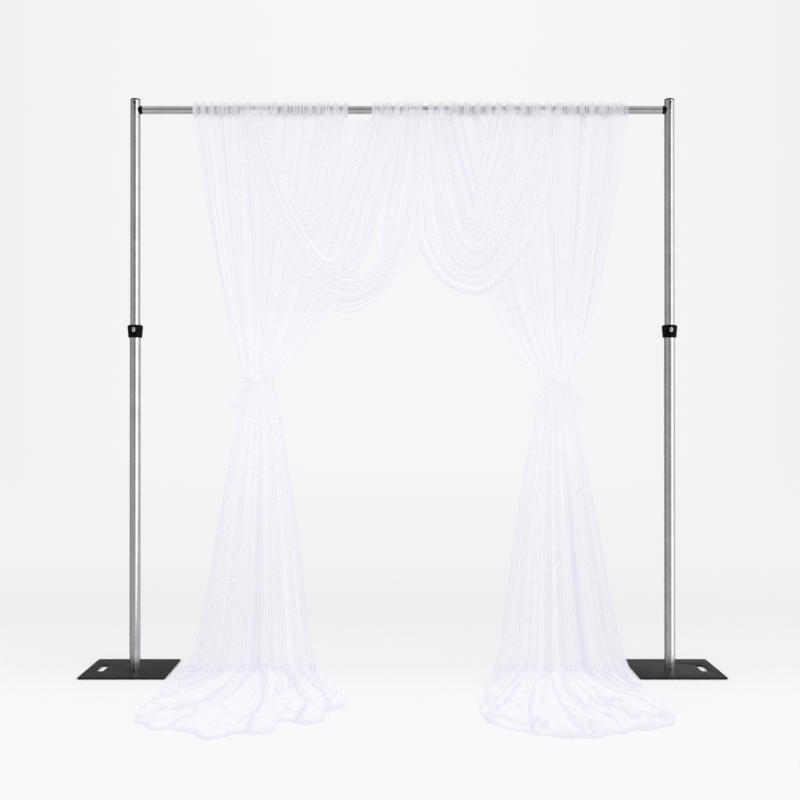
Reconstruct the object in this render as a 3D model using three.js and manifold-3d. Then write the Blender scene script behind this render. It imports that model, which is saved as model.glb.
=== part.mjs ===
// A pipe and drape backdrop: two telescopic aluminium masts on flat steel bases, a telescopic
// crossbar hooked into keyholes in the mast heads, and two sheer curtains, each with a swag
// on the crossbar, a sash at its waist and a hem that pools on the floor.
// Millimetres, +Z up, +X to the viewer's right, the viewer at -Y.
import * as THREE from "three";
import { mergeVertices } from "three/addons/utils/BufferGeometryUtils.js";
import Module from "manifold-3d";

const wasm = await Module();
wasm.setup();

// Stand, overall
const standHeight = 2743; // floor to the top of the mast caps, a nine foot stand
const mastSpacing = 2565; // between the axes of the two masts
const barDrop = 56; // from the top of the caps down to the axis of the crossbar
const seat = 0.3; // gap between two pieces that touch
const running = 0.3; // radial gap of a piece that slides in another
const overrun = 4; // how far a cut reaches past the face that it opens

// Base plate
const plateSide = 406;
const plateThickness = 6;
const plateCorner = 9;
const plateBevel = 0.8;
const plateOutboard = 20; // the plate's centre lies this far outside the mast
const slotWidth = 36; // hand slot, along X
const slotLength = 130; // hand slot, along Y
const slotCorner = 12;
const slotInset = 50; // from the plate's outer edge to the slot
const padRadius = 13;
const padHeight = 2;
const padInset = 30; // from the plate's edges to a pad's centre

// Spigot that the mast stands on, and its bolt
const spigotRadius = 20.6;
const spigotBore = 16;
const spigotHeight = 150;
const spigotFoot = 14; // solid end that the bolt screws into
const spigotChamfer = 4;
const boltRadius = 6;
const boltHeadRadius = 11;
const boltHeadHeight = 4.6;
const boltSocketRadius = 3.6;
const boltSocketDepth = 3;

// Lower tube, with the sleeve that lines its foot
const lowerRadius = 25.4;
const lowerWall = 1.6;
const lowerTop = 1612; // height of its upper end above the floor
const sleeveHeight = 186;
const rivetHeight = 168; // height of the two foot rivets above the floor
const rivetRadius = 2.4;
const rivetHeadRadius = 4.6;
const rivetHeadHeight = 1.6;

// Upper tube, with the plug that guides its lower end
const upperRadius = 23.5;
const upperWall = 1.5;
const upperBottom = 1204; // height of its lower end at full extension
const guidePlugLength = 44;
const guidePlugFlange = 8;
const guidePlugWall = 3;

// Slotted mast head and its cap
const headLength = 81; // above the end of the upper tube
const headWall = 5.5;
const headShank = 38;
const headShankWall = 3.4;
const keyholeRadius = 6; // round top of a keyhole
const keyholeRise = 34; // from the bar's axis to the centre of the round top
const keyslotWidth = 6.8;
const keyslotBelow = 4; // how far the narrow slot reaches below the bar's axis
const pinHoleRadius = 3;
const pinHoleDrop = 20; // from the bar's axis to the small hole
const keyholeCount = 4;
const capDome = 10; // height of the cap above the head
const capRimHeight = 3;
const capPlugDepth = 4.5;
const capPlugWall = 2.5;

// Locking collar
const collarBottom = 1593;
const collarTop = 1654;
const collarBottomRadius = 33;
const collarTopRadius = 36.6;
const collarFlareHeight = 14; // from the widest place to the top face
const collarTopRound = 5;
const collarFootRound = 2;
const ringBottom = 1619; // latch ring, above the lower tube
const ringHeight = 22;
const ringWall = 3.2;
const ringTravel = 4; // how far the button pushes the ring
const buttonWidth = 14;
const buttonHeight = 23;
const buttonProud = 2.6;
const leafThickness = 0.7;
const leafWidth = 12;

// Crossbar
const barRadius = 19.05;
const barWall = 1.5;
const innerBarWall = 1.6;
const leftBarEnd = -60; // x of the inner end of the left outer tube
const barExposed = 127; // inner tube that shows between the two outer tubes
const barOpens = 483; // how much further the bar draws out
const barHolds = 150; // inner tube left inside when the bar is drawn right out
const innerBarFixed = 300; // inner tube fixed inside the right outer tube
const hookLength = 11; // bar end to the mast's surface
const hookPlug = 62;
const hookPlugBore = 12;
const hookPlugBoreDepth = 48;
const studNeckRadius = 3;
const studHeadRadius = 5.2;
const studHeadThickness = 3;
const studReach = 16.6; // from the mast's axis to the outer face of the stud's head
const barRivetInset = 14.6; // from the bar's end to its rivet
const barRivetTurn = THREE.MathUtils.degToRad(14); // above straight ahead
const barRivetRadius = 1.8;
const barRivetHeadRadius = 2.8;
const barRivetHeadHeight = 0.9;
const barRivetLength = 6;

// Curtains
const clothThickness = 5;
const pocketRadius = 23.4; // outside of the rod pocket
const pocketGap = 0.7; // rod pocket to bar
const ruffleHeight = 13; // header above the pocket
const waistHeight = 1392; // middle of the sashes above the floor
const pleats = 6;
const pleatDepthTop = 11; // half depth of the pleats at the rod
const pleatDepthMiddle = 27;
const pleatDepthWaist = 40;
const leftPanelOuter = -1005;
const leftPanelInner = 104;
const leftPocketGapFrom = -261; // bare stretch of bar inside the left curtain
const leftPocketGapTo = -146;
const rightPanelInner = 124;
const rightPanelOuter = 1083;
const leftWaistCentre = -690;
const leftWaistWidth = 115;
const rightWaistCentre = 742;
const rightWaistWidth = 106;
const leftSpreadShare = 0.72; // how the edges leave the waist: 1 is straight, less is bellied
const rightSpreadShare = 0.6;

// Swags, each between an outer and an inner loop that hang from the rod
const swagBelly = 82; // middle of the swag's lowest part in front of the bar's axis
const swagPleats = 4;
const swagPleatDepth = 22;
const swagTopPleatDepth = 8;
const swagTopRise = 14; // swag's top edge above the bar's axis
const leftSwagOuter = [-765, -247, 112]; // x of the outer loop's left end, lowest point, right end
const leftSwagInner = [-285, -165, -69];
const leftSwagDrop = 976; // outer loop below the bar's axis
const leftSwagInnerDrop = 768;
const leftSwagOuterShares = [1.5, 0.5]; // power of each side of the loop: under 1 is steeper
const rightSwagOuter = [130, 367, 776];
const rightSwagInner = [233, 324, 454];
const rightSwagDrop = 893;
const rightSwagInnerDrop = 425;
const rightSwagOuterShares = [0.4, 1.35];
const swagInnerShares = [0.7, 0.7];

// Sashes
const sashHeight = 54;
const sashThickness = 7;
const sashGap = 1.2; // between the gathered cloth and the sash
const sashRidges = 2;
const sashRidgeDepth = 2.5;
const knotRadius = 24;
const knotDepthShare = 0.62;
const tailLength = 196;
const tailTopWidth = 16;
const tailEndWidth = 74;
const tailSpread = 62; // how far a tail's end lies to the side of its top
const tailPleats = 2;
const tailPleatDepth = 8;
const tailForward = 84; // a tail's end in front of the bar's axis

// Skirts below the sashes
const leftHemGap = 2.2; // between the hanging cloth and the pool that it runs into
const rightHemGap = 3;
const skirtForward = 330; // how far its lower end is drawn towards the viewer
const skirtPleatDepth = 62;
const leftSkirtEdges = [-960, -400]; // x at the lower end
const rightSkirtEdges = [428, 1015];
const skirtSpreadShare = 0.72;

// Pools of cloth on the floor
const poolHeight = 84;
const poolEdgeHeight = 9;
const poolRippleHeight = 9;
const poolMoundPower = 3; // 2 is round, more is flatter on top
const leftPoolCentre = [-682, -520];
const leftPoolHalf = [412, 632];
const rightPoolCentre = [716, -690];
const rightPoolHalf = [406, 484];
const poolRipples = 9;
const poolScallopShare = 0.035; // depth of the scalloped edge, of the pool's half width
const leftPoolSquareness = 2.6; // power of the outline: 2 is an ellipse, more is squarer
const rightPoolSquareness = 3;

// Fineness
const tubeSides = 24;
const innerSides = 16; // round pieces inside the tubes
const smallSides = 12;
const padSides = 10;
const rivetSides = 8;
const pocketSides = 10;
const sashSides = 14;
const knotRings = 8;
const tailColumns = 8;
const tailRows = 3;
const arcSteps = 3;
const clothColumns = 24;
const clothRows = 8;
const skirtRows = 6;
const swagColumns = 12;
const swagRows = 16;
const poolSpokes = 36;
const poolRings = 6;

// Worked out from the sizes above
const plateBottom = padHeight + seat;
const plateTop = plateBottom + plateThickness;
const mastFoot = plateTop + seat;
const lowerBore = lowerRadius - lowerWall;
const sleeveRadius = lowerBore - seat;
const sleeveBore = spigotRadius + running;
const upperBore = upperRadius - upperWall;
const barHeight = standHeight - barDrop;
const headTop = standHeight - capDome;
const headBottom = headTop - headLength;
const headBore = upperRadius - headWall;
const mastX = mastSpacing / 2;
const barEndX = mastX - upperRadius - seat - hookLength;
const innerBarRadius = barRadius - barWall - running;
const swagForward = pocketRadius + seat + clothThickness / 2 + swagTopPleatDepth;
const quarterTurn = Math.PI / 2;

const finishes = {
  powderCoat: { color: 0x2b2d30, roughness: 0.45, metalness: 0.3 },
  aluminium: { color: 0xb9bbbd, roughness: 0.32, metalness: 1 },
  brightSteel: { color: 0xc9ccce, roughness: 0.25, metalness: 1 },
  chrome: { color: 0xe6e8ea, roughness: 0.08, metalness: 1 },
  blackPlastic: { color: 0x151618, roughness: 0.3, metalness: 0 },
  nylon: { color: 0xd9d7d0, roughness: 0.6, metalness: 0 },
  rubber: { color: 0x1c1c1d, roughness: 0.9, metalness: 0 },
  tulle: { color: 0xf6f5fd, roughness: 0.9, metalness: 0 },
};

// A closed mesh as a solid that booleans can work on.
function solidOf(geometry) {
  const loose = geometry.index ? geometry.toNonIndexed() : geometry;
  const bare = new THREE.BufferGeometry();
  bare.setAttribute("position", loose.getAttribute("position"));
  const welded = mergeVertices(bare);
  const mesh = new wasm.Mesh({
    numProp: 3,
    vertProperties: welded.getAttribute("position").array,
    triVerts: new Uint32Array(welded.index.array),
  });
  return new wasm.Manifold(mesh);
}

// The mesh of a solid.
function geometryOf(solid) {
  const mesh = solid.getMesh();
  const shared = new THREE.BufferGeometry();
  shared.setAttribute("position", new THREE.BufferAttribute(mesh.vertProperties, 3));
  shared.setIndex(new THREE.BufferAttribute(mesh.triVerts, 1));
  const geometry = shared.toNonIndexed();
  geometry.computeVertexNormals();
  return geometry;
}

// The first geometry with all the others cut out of it.
function cut(geometry, ...tools) {
  const rest = tools.reduce((solid, tool) => solid.subtract(solidOf(tool)), solidOf(geometry));
  return geometryOf(rest);
}

// All the geometries joined into one.
function join(geometry, ...others) {
  const whole = others.reduce((solid, other) => solid.add(solidOf(other)), solidOf(geometry));
  return geometryOf(whole);
}

// A profile of [radius, height] pairs, counter-clockwise, turned about the Z axis.
function revolve(profile, sides = tubeSides) {
  const points = profile.map(([radius, height]) => new THREE.Vector2(radius, height));
  return new THREE.LatheGeometry(points, sides).rotateX(quarterTurn);
}

// A tube about the Z axis, as a closed profile.
function tube(outer, inner, bottom, top, sides = tubeSides) {
  const corners = [[inner, bottom], [outer, bottom], [outer, top], [inner, top], [inner, bottom]];
  return revolve(corners, sides);
}

// A solid round bar about the Z axis.
function rod(radius, bottom, top, sides = smallSides) {
  return revolve([[0, bottom], [radius, bottom], [radius, top], [0, top]], sides);
}

// A quarter circle of [radius, height] points about a centre, from one angle to another.
function arc(centre, radius, from, to, steps = arcSteps) {
  return Array.from({ length: steps + 1 }, (unused, step) => {
    const angle = from + ((to - from) * step) / steps;
    return [centre[0] + radius * Math.cos(angle), centre[1] + radius * Math.sin(angle)];
  });
}

// A rectangle with round corners about the origin.
function roundedRectangle(width, length, corner) {
  const [x, y] = [width / 2 - corner, length / 2 - corner];
  const shape = new THREE.Shape();
  shape.absarc(x, y, corner, 0, quarterTurn);
  shape.absarc(-x, y, corner, quarterTurn, Math.PI);
  shape.absarc(-x, -y, corner, Math.PI, Math.PI + quarterTurn);
  shape.absarc(x, -y, corner, Math.PI + quarterTurn, 2 * Math.PI);
  return shape;
}

// A sheet of cloth as a closed solid: place(u, v) gives its middle, and its thickness is along Y.
function sheet(columns, rows, place) {
  const positions = [];
  const triangles = [];
  const perFace = (columns + 1) * (rows + 1);
  for (const face of [-1, 1]) {
    for (let row = 0; row <= rows; row += 1) {
      for (let column = 0; column <= columns; column += 1) {
        const point = place(column / columns, row / rows);
        positions.push(point.x, point.y + (face * clothThickness) / 2, point.z);
      }
    }
  }
  const at = (face, column, row) => face * perFace + row * (columns + 1) + column;
  const quad = (a, b, c, d) => triangles.push(a, b, c, a, c, d);
  for (let row = 0; row < rows; row += 1) {
    for (let column = 0; column < columns; column += 1) {
      const corners = [[column, row + 1], [column + 1, row + 1], [column + 1, row], [column, row]];
      const [a, b, c, d] = corners.map(([x, y]) => at(0, x, y));
      quad(a, b, c, d);
      quad(a + perFace, d + perFace, c + perFace, b + perFace);
    }
  }
  for (let column = 0; column < columns; column += 1) {
    quad(at(0, column, 0), at(0, column + 1, 0), at(1, column + 1, 0), at(1, column, 0));
    quad(at(1, column, rows), at(1, column + 1, rows), at(0, column + 1, rows), at(0, column, rows));
  }
  for (let row = 0; row < rows; row += 1) {
    quad(at(1, 0, row), at(1, 0, row + 1), at(0, 0, row + 1), at(0, 0, row));
    quad(at(0, columns, row), at(0, columns, row + 1), at(1, columns, row + 1), at(1, columns, row));
  }
  const geometry = new THREE.BufferGeometry();
  geometry.setAttribute("position", new THREE.Float32BufferAttribute(positions, 3));
  geometry.setIndex(triangles);
  return geometryOf(solidOf(geometry));
}

// How far a gathered cloth keeps inside a round bundle at u, from 0 at its edges to 1 in its middle.
const bundle = (u) => Math.sqrt(Math.max(0, 1 - (2 * u - 1) ** 2));

// The side-to-side wave of the pleats.
const wave = (u, count) => Math.sin(2 * Math.PI * count * u);

const { lerp, smoothstep } = THREE.MathUtils;

// Where a curtain's rows lie: it keeps its waist through half the sash, then spreads to its far end.
function rowFromWaist(v, rows, side, farHeight) {
  const waist = waistHeight + (side * seat) / 2;
  const neck = waistHeight + side * (sashHeight / 2 + seat);
  const spread = Math.max(0, (v * rows - 1) / (rows - 1));
  return [spread, v > 0 ? lerp(neck, farHeight, spread) : waist];
}

// The curtain from the sash up to the header above the rod.
function panelGeometry(top, waistCentre, waistWidth, spreadShare, pocketBreak) {
  const header = barHeight + pocketRadius + ruffleHeight;
  const place = (u, v) => {
    const [spread, height] = rowFromWaist(1 - v, clothRows, 1, header);
    const across = spread ** spreadShare;
    const x = lerp(waistCentre + waistWidth * (u - 1 / 2), lerp(top[0], top[1], u), across);
    const belly = lerp(pleatDepthWaist, pleatDepthMiddle, smoothstep(spread, 0, 1 / 2));
    const depth = lerp(belly, pleatDepthTop, smoothstep(spread, 1 / 2, 1));
    const round = lerp(bundle(u), 1, smoothstep(spread, 0, 1 / 4));
    return new THREE.Vector3(x, depth * round * wave(u, pleats), height);
  };
  const hanging = sheet(clothColumns, clothRows, place);
  const along = (geometry, from) => geometry.rotateY(quarterTurn).translate(from, 0, barHeight);
  const width = top[1] - top[0];
  const pocket = along(rod(pocketRadius, 0, width, pocketSides), top[0]);
  const bore = along(rod(barRadius + pocketGap, -overrun, width + overrun), top[0]);
  const tools = [bore];
  if (pocketBreak) {
    const [from, to] = pocketBreak;
    const height = 2 * (pocketRadius + ruffleHeight + overrun);
    const gap = new THREE.BoxGeometry(to - from, height, height);
    tools.push(gap.translate((from + to) / 2, 0, barHeight + height / 2 - pocketRadius - overrun));
  }
  return cut(join(hanging, pocket), ...tools);
}

// One loop of a swag: x and drop at a turn from 0 at its left end to pi at its right end.
function loopPoint([left, lowest, right], drop, [leftPower, rightPower], turn) {
  const onLeft = turn < quarterTurn;
  const end = onLeft ? left : right;
  const power = onLeft ? leftPower : rightPower;
  return [lowest + (end - lowest) * Math.abs(Math.cos(turn)), drop * Math.sin(turn) ** power];
}

// A swag: cloth between an outer and an inner loop, with its folds along the loops.
function swagGeometry(outer, outerDrop, outerShares, inner, innerDrop) {
  return sheet(swagColumns, swagRows, (u, v) => {
    const turn = Math.PI * u;
    const low = loopPoint(outer, outerDrop + swagTopRise, outerShares, turn);
    const high = loopPoint(inner, innerDrop + swagTopRise, swagInnerShares, turn);
    const fall = Math.sin(turn);
    const depth = lerp(swagTopPleatDepth, swagPleatDepth, fall);
    const y = -lerp(swagForward, swagBelly, fall) + depth * wave(v, swagPleats);
    return new THREE.Vector3(
      lerp(high[0], low[0], v),
      y,
      barHeight + swagTopRise - lerp(high[1], low[1], v),
    );
  });
}

// A sash around the gathered cloth, with its knot in front and its tails.
function sashGeometry(centre, width, tailSides) {
  const flats = 1 / Math.cos(Math.PI / sashSides);
  const halfWidth = (width / 2 + sashGap) * flats;
  const halfDepth = (pleatDepthWaist + clothThickness / 2 + sashGap) * flats;
  const bottom = waistHeight - sashHeight / 2;
  const folds = Array.from({ length: 2 * sashRidges + 1 }, (unused, step) => {
    const out = sashThickness - (step % 2 ? 0 : sashRidgeDepth);
    return [halfWidth + out, bottom + (sashHeight * step) / (2 * sashRidges)];
  });
  const inner = [[halfWidth, bottom + sashHeight], [halfWidth, bottom], folds[0]];
  const band = revolve([...folds, ...inner], sashSides);
  band.scale(1, halfDepth / halfWidth, 1);
  const front = -(halfDepth + sashThickness);
  const knot = new THREE.SphereGeometry(knotRadius, smallSides, knotRings);
  knot.scale(1, knotDepthShare, 1).translate(0, front - knotRadius * knotDepthShare / 2, waistHeight);
  const tails = tailSides.map((side) =>
    sheet(tailColumns, tailRows, (u, v) => {
      const across = lerp(tailTopWidth, tailEndWidth, v) * (u - 1 / 2);
      const ripple = tailPleatDepth * v * wave(u, tailPleats);
      return new THREE.Vector3(
        side * (tailSpread * v + knotRadius / 2) + across,
        lerp(front - knotRadius / 4, -tailForward, v) + ripple,
        waistHeight - tailLength * v,
      );
    }),
  );
  return join(band, knot, ...tails).translate(centre, 0, 0);
}

// Height of a pool's folds at a share of the way out to its edge.
function poolFold(share, angle) {
  const mound = lerp(poolEdgeHeight, poolHeight, Math.sqrt(Math.max(0, 1 - share ** poolMoundPower)));
  return mound + poolRippleHeight * share * Math.sin(Math.PI * share) * Math.cos(poolRipples * angle);
}

// How far a pool reaches from its centre at an angle, as shares of its half width and half depth.
function poolReach(angle, squareness) {
  const [c, s] = [Math.cos(angle), Math.sin(angle)];
  const plain = (Math.abs(c) ** squareness + Math.abs(s) ** squareness) ** (-1 / squareness);
  const scallop = 1 - poolScallopShare * (1 - Math.cos(poolRipples * angle));
  return [c * plain * scallop, s * plain * scallop];
}

// Height of a pool's top at a place on the floor.
function poolTop([centre, half, squareness], x, y) {
  const [across, along] = [(x - centre[0]) / half[0], (y - centre[1]) / half[1]];
  const angle = Math.atan2(along, across);
  const share = Math.hypot(across, along) / Math.hypot(...poolReach(angle, squareness));
  return poolFold(Math.min(1, share), angle);
}

// The curtain below its sash, drawn forwards as it falls and ending on its pool.
function skirtGeometry(waistCentre, waistWidth, edges, hemGap, pool) {
  return sheet(clothColumns, skirtRows, (u, v) => {
    const [spread] = rowFromWaist(v, skirtRows, -1, 0);
    const across = spread ** skirtSpreadShare;
    const x = lerp(waistCentre + waistWidth * (u - 1 / 2), lerp(edges[0], edges[1], u), across);
    const round = lerp(bundle(u), 1, smoothstep(spread, 0, 1 / 4));
    const depth = lerp(pleatDepthWaist, skirtPleatDepth, spread) * round;
    const y = depth * wave(u, pleats) - skirtForward * spread ** 2;
    const [, height] = rowFromWaist(v, skirtRows, -1, poolTop(pool, x, y) + hemGap);
    return new THREE.Vector3(x, y, height);
  });
}

// Cloth lying on the floor: a low mound with folds that run out to a scalloped edge.
function poolGeometry(centre, half, squareness) {
  const positions = [centre[0], centre[1], poolHeight];
  const triangles = [];
  const addRing = (share, heightAt) => {
    for (let spoke = 0; spoke < poolSpokes; spoke += 1) {
      const angle = (2 * Math.PI * spoke) / poolSpokes;
      const [across, along] = poolReach(angle, squareness);
      const [x, y] = [half[0] * across * share, half[1] * along * share];
      positions.push(centre[0] + x, centre[1] + y, heightAt(angle));
    }
  };
  for (let ring = 1; ring <= poolRings; ring += 1) {
    addRing(ring / poolRings, (angle) => poolFold(ring / poolRings, angle));
  }
  addRing(1, () => 0);
  positions.push(centre[0], centre[1], 0);
  const at = (ring, spoke) => 1 + (ring - 1) * poolSpokes + (spoke % poolSpokes);
  const last = positions.length / 3 - 1;
  for (let spoke = 0; spoke < poolSpokes; spoke += 1) {
    triangles.push(0, at(1, spoke), at(1, spoke + 1));
    triangles.push(last, at(poolRings + 1, spoke + 1), at(poolRings + 1, spoke));
    for (let ring = 1; ring <= poolRings; ring += 1) {
      triangles.push(at(ring, spoke), at(ring + 1, spoke), at(ring + 1, spoke + 1));
      triangles.push(at(ring, spoke), at(ring + 1, spoke + 1), at(ring, spoke + 1));
    }
  }
  const geometry = new THREE.BufferGeometry();
  geometry.setAttribute("position", new THREE.Float32BufferAttribute(positions, 3));
  geometry.setIndex(triangles);
  return geometry;
}

// A flat steel plate with a hand slot on its outer side and a countersunk hole under the mast.
function plateGeometry(side) {
  const outline = roundedRectangle(plateSide - 2 * plateBevel, plateSide - 2 * plateBevel, plateCorner);
  const slotX = plateSide / 2 - slotInset - slotWidth / 2;
  const slab = new THREE.ExtrudeGeometry(outline, {
    depth: plateThickness - 2 * plateBevel,
    bevelEnabled: true,
    bevelThickness: plateBevel,
    bevelSize: plateBevel,
    bevelSegments: 1,
    curveSegments: arcSteps,
  });
  slab.translate(side * plateOutboard, 0, plateBottom + plateBevel);
  const slot = new THREE.ExtrudeGeometry(roundedRectangle(slotWidth, slotLength, slotCorner), {
    depth: plateThickness + 2 * overrun,
    bevelEnabled: false,
    curveSegments: arcSteps,
  });
  slot.translate(side * (plateOutboard + slotX), 0, plateBottom - overrun);
  const wide = boltHeadRadius + 2 * seat;
  const narrow = boltRadius + seat;
  const sink = boltHeadHeight + seat;
  const hole = revolve([
    [0, plateBottom - overrun],
    [wide, plateBottom - overrun],
    [wide, plateBottom],
    [narrow, plateBottom + sink],
    [narrow, plateTop + overrun],
    [0, plateTop + overrun],
  ], smallSides);
  return cut(slab, slot, hole);
}

// Countersunk bolt with a hexagon socket, from under the plate up into the spigot.
function boltGeometry() {
  const under = plateBottom + seat;
  const shank = revolve([
    [0, under],
    [boltHeadRadius, under],
    [boltRadius, under + boltHeadHeight],
    [boltRadius, mastFoot + spigotFoot - seat],
    [0, mastFoot + spigotFoot - seat],
  ], smallSides);
  const hexagon = 6;
  return cut(shank, rod(boltSocketRadius, under - overrun, under + boltSocketDepth, hexagon));
}

// Upright tube on the plate, with a chamfered mouth and a bolt hole in its solid foot.
function spigotGeometry() {
  const top = mastFoot + spigotHeight;
  return revolve([
    [boltRadius + seat, mastFoot],
    [spigotRadius, mastFoot],
    [spigotRadius, top - spigotChamfer],
    [spigotRadius - spigotChamfer / 2, top],
    [spigotBore, top],
    [spigotBore, mastFoot + spigotFoot],
    [boltRadius + seat, mastFoot + spigotFoot],
    [boltRadius + seat, mastFoot],
  ], innerSides);
}

// A bar along X at a height, long enough to drill both walls of a tube.
function crossDrill(radius, height, reach) {
  return rod(radius, -reach, reach, smallSides).rotateY(quarterTurn).translate(0, 0, height);
}

// Dome-headed rivet along Z with its head's underside at a height and its shank below.
function rivetGeometry(radius, headRadius, headHeight, under, length) {
  const ball = (headRadius ** 2 + headHeight ** 2) / (2 * headHeight);
  const span = Math.asin(headRadius / ball);
  const dome = arc([0, under + headHeight - ball], ball, quarterTurn - span, quarterTurn);
  dome[dome.length - 1][0] = 0;
  return revolve([[0, under - length], [radius, under - length], [radius, under], ...dome], rivetSides);
}

// The slotted head on top of the upper tube, with a shank inside the tube.
function headGeometry() {
  const shankRadius = upperBore - seat;
  const body = revolve([
    [shankRadius - headShankWall, headBottom - headShank],
    [shankRadius, headBottom - headShank],
    [shankRadius, headBottom],
    [upperRadius, headBottom],
    [upperRadius, headTop],
    [headBore, headTop],
    [headBore, headBottom],
    [shankRadius - headShankWall, headBottom - headShank],
  ]);
  const cuts = [];
  const top = barHeight + keyholeRise;
  const slotBottom = barHeight - keyslotBelow + keyslotWidth / 2;
  for (let index = 0; index < keyholeCount; index += 1) {
    const reach = (geometry) => geometry.rotateY(quarterTurn);
    const place = (geometry, height) =>
      geometry.translate(0, 0, height).rotateZ((2 * Math.PI * index) / keyholeCount);
    const far = upperRadius + overrun;
    cuts.push(place(reach(rod(keyholeRadius, 0, far, smallSides)), top));
    cuts.push(place(reach(rod(keyslotWidth / 2, 0, far, smallSides)), slotBottom));
    cuts.push(place(reach(rod(pinHoleRadius, 0, far, smallSides)), barHeight - pinHoleDrop));
    const slot = new THREE.BoxGeometry(far, keyslotWidth, top - slotBottom).translate(far / 2, 0, 0);
    cuts.push(place(slot, (top + slotBottom) / 2));
  }
  return cut(body, ...cuts);
}

// Domed cap with a short plug.
function capGeometry() {
  const under = headTop + seat;
  const plugRadius = headBore - seat;
  const rim = under + capRimHeight;
  const domeHeight = standHeight - rim;
  const dome = Array.from({ length: arcSteps + 1 }, (unused, step) => {
    const angle = (quarterTurn * step) / arcSteps;
    return [upperRadius * Math.cos(angle), rim + domeHeight * Math.sin(angle)];
  });
  dome[arcSteps][0] = 0;
  return revolve([
    [0, under],
    [plugRadius - capPlugWall, under],
    [plugRadius - capPlugWall, under - capPlugDepth],
    [plugRadius, under - capPlugDepth],
    [plugRadius, under],
    [upperRadius, under],
    ...dome,
  ]);
}

// Plug at the foot of the upper tube: a flange that runs in the lower tube and a shank above it.
function guidePlugGeometry() {
  const bottom = upperBottom - seat - guidePlugFlange;
  const shank = upperBore - seat;
  const top = upperBottom - seat + guidePlugLength;
  return revolve([
    [shank - guidePlugWall, bottom],
    [lowerBore - running, bottom],
    [lowerBore - running, upperBottom - seat],
    [shank, upperBottom - seat],
    [shank, top],
    [shank - guidePlugWall, top],
    [shank - guidePlugWall, bottom],
  ], innerSides);
}

// The outline of a round part stretched towards the viewer, for the latch ring and its hole.
function stretchedRound(radius, stretch) {
  const shape = new THREE.Shape();
  shape.absarc(0, 0, radius, 0, Math.PI);
  shape.absarc(0, -stretch, radius, Math.PI, 2 * Math.PI);
  return shape;
}

const ringHole = upperRadius + running;
const ringOuter = ringHole + ringWall;
const ringFront = ringOuter + ringTravel;
const chamberRadius = ringFront + leafThickness + 2 * running;
const chamberBottom = ringBottom - running;
const chamberTop = ringBottom + ringHeight + running;

// Locking collar: seated on the lower tube, with a chamber for the latch ring.
function collarGeometry() {
  const seatBore = lowerRadius + seat;
  const tubeBore = upperRadius + 2 * running;
  const footCentre = [collarBottomRadius - collarFootRound, collarBottom + collarFootRound];
  const shoulderCentre = [collarTopRadius - collarTopRound, collarTop - collarTopRound];
  const shell = revolve([
    [seatBore, collarBottom],
    ...arc(footCentre, collarFootRound, -quarterTurn, 0),
    [collarTopRadius, collarTop - collarFlareHeight],
    ...arc(shoulderCentre, collarTopRound, 0, quarterTurn),
    [tubeBore, collarTop],
    [tubeBore, chamberTop],
    [chamberRadius, chamberTop],
    [chamberRadius, chamberBottom],
    [tubeBore, chamberBottom],
    [tubeBore, lowerTop + seat],
    [seatBore, lowerTop + seat],
    [seatBore, collarBottom],
  ]);
  const back = ringFront - ringTravel;
  const options = { depth: collarTopRadius + overrun - back, bevelEnabled: false, curveSegments: arcSteps };
  const oval = uprightOval(buttonWidth + 2 * running, buttonHeight + 2 * running);
  const window = new THREE.ExtrudeGeometry(oval, options);
  return cut(shell, window.rotateX(quarterTurn).translate(0, -back, buttonMiddle));
}

const buttonMiddle = ringBottom + ringHeight / 2;

// An upright oval with straight sides.
function uprightOval(width, height) {
  const oval = new THREE.Shape();
  oval.absarc(0, (height - width) / 2, width / 2, 0, Math.PI);
  oval.absarc(0, (width - height) / 2, width / 2, Math.PI, 2 * Math.PI);
  return oval;
}

// Oval push button with a crowned face, whose back meets the latch ring.
function buttonGeometry() {
  const crown = buttonProud / 2;
  const front = collarTopRadius + buttonProud;
  const back = ringFront + seat;
  const oval = uprightOval(buttonWidth - 2 * crown, buttonHeight - 2 * crown);
  const face = new THREE.ExtrudeGeometry(oval, {
    depth: front - back - 2 * crown,
    bevelEnabled: true,
    bevelThickness: crown,
    bevelSize: crown,
    bevelSegments: 3,
    curveSegments: arcSteps,
  });
  return face.rotateX(quarterTurn).translate(0, -back - crown, buttonMiddle);
}

// Latch ring around the upper tube, with room in front for its travel.
function ringGeometry() {
  const options = { depth: ringHeight, bevelEnabled: false, curveSegments: smallSides / 2 };
  const outline = stretchedRound(ringOuter, ringTravel);
  outline.holes.push(stretchedRound(ringHole, ringTravel));
  return new THREE.ExtrudeGeometry(outline, options).translate(0, 0, ringBottom);
}

// Bowed leaf spring between the chamber's back wall and the latch ring.
function leafGeometry() {
  const front = ringOuter + seat;
  const room = Math.sqrt((chamberRadius - seat) ** 2 - (leafWidth / 2) ** 2) - front;
  const bow = (step) => room - leafThickness - (room - leafThickness) * (2 * step - 1) ** 2;
  const outline = new THREE.Shape();
  const steps = 2 * arcSteps;
  const length = ringHeight - 2 * seat;
  const along = (step) => length * (step - 1 / 2);
  for (let step = 0; step <= steps; step += 1) {
    const share = step / steps;
    const method = step ? "lineTo" : "moveTo";
    outline[method](front + bow(share), along(share));
  }
  for (let step = steps; step >= 0; step -= 1) {
    const share = step / steps;
    outline.lineTo(front + bow(share) + leafThickness, along(share));
  }
  const leaf = new THREE.ExtrudeGeometry(outline, { depth: leafWidth, bevelEnabled: false });
  leaf.rotateX(quarterTurn).rotateZ(quarterTurn);
  return leaf.translate(-leafWidth / 2, 0, buttonMiddle);
}

const root = new THREE.Group();

// A named mesh with a finish of its own, added to a group.
function piece(parent, name, geometry, finish) {
  const mesh = new THREE.Mesh(geometry, new THREE.MeshStandardMaterial(finish));
  mesh.name = name;
  parent.add(mesh);
  return mesh;
}

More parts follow.
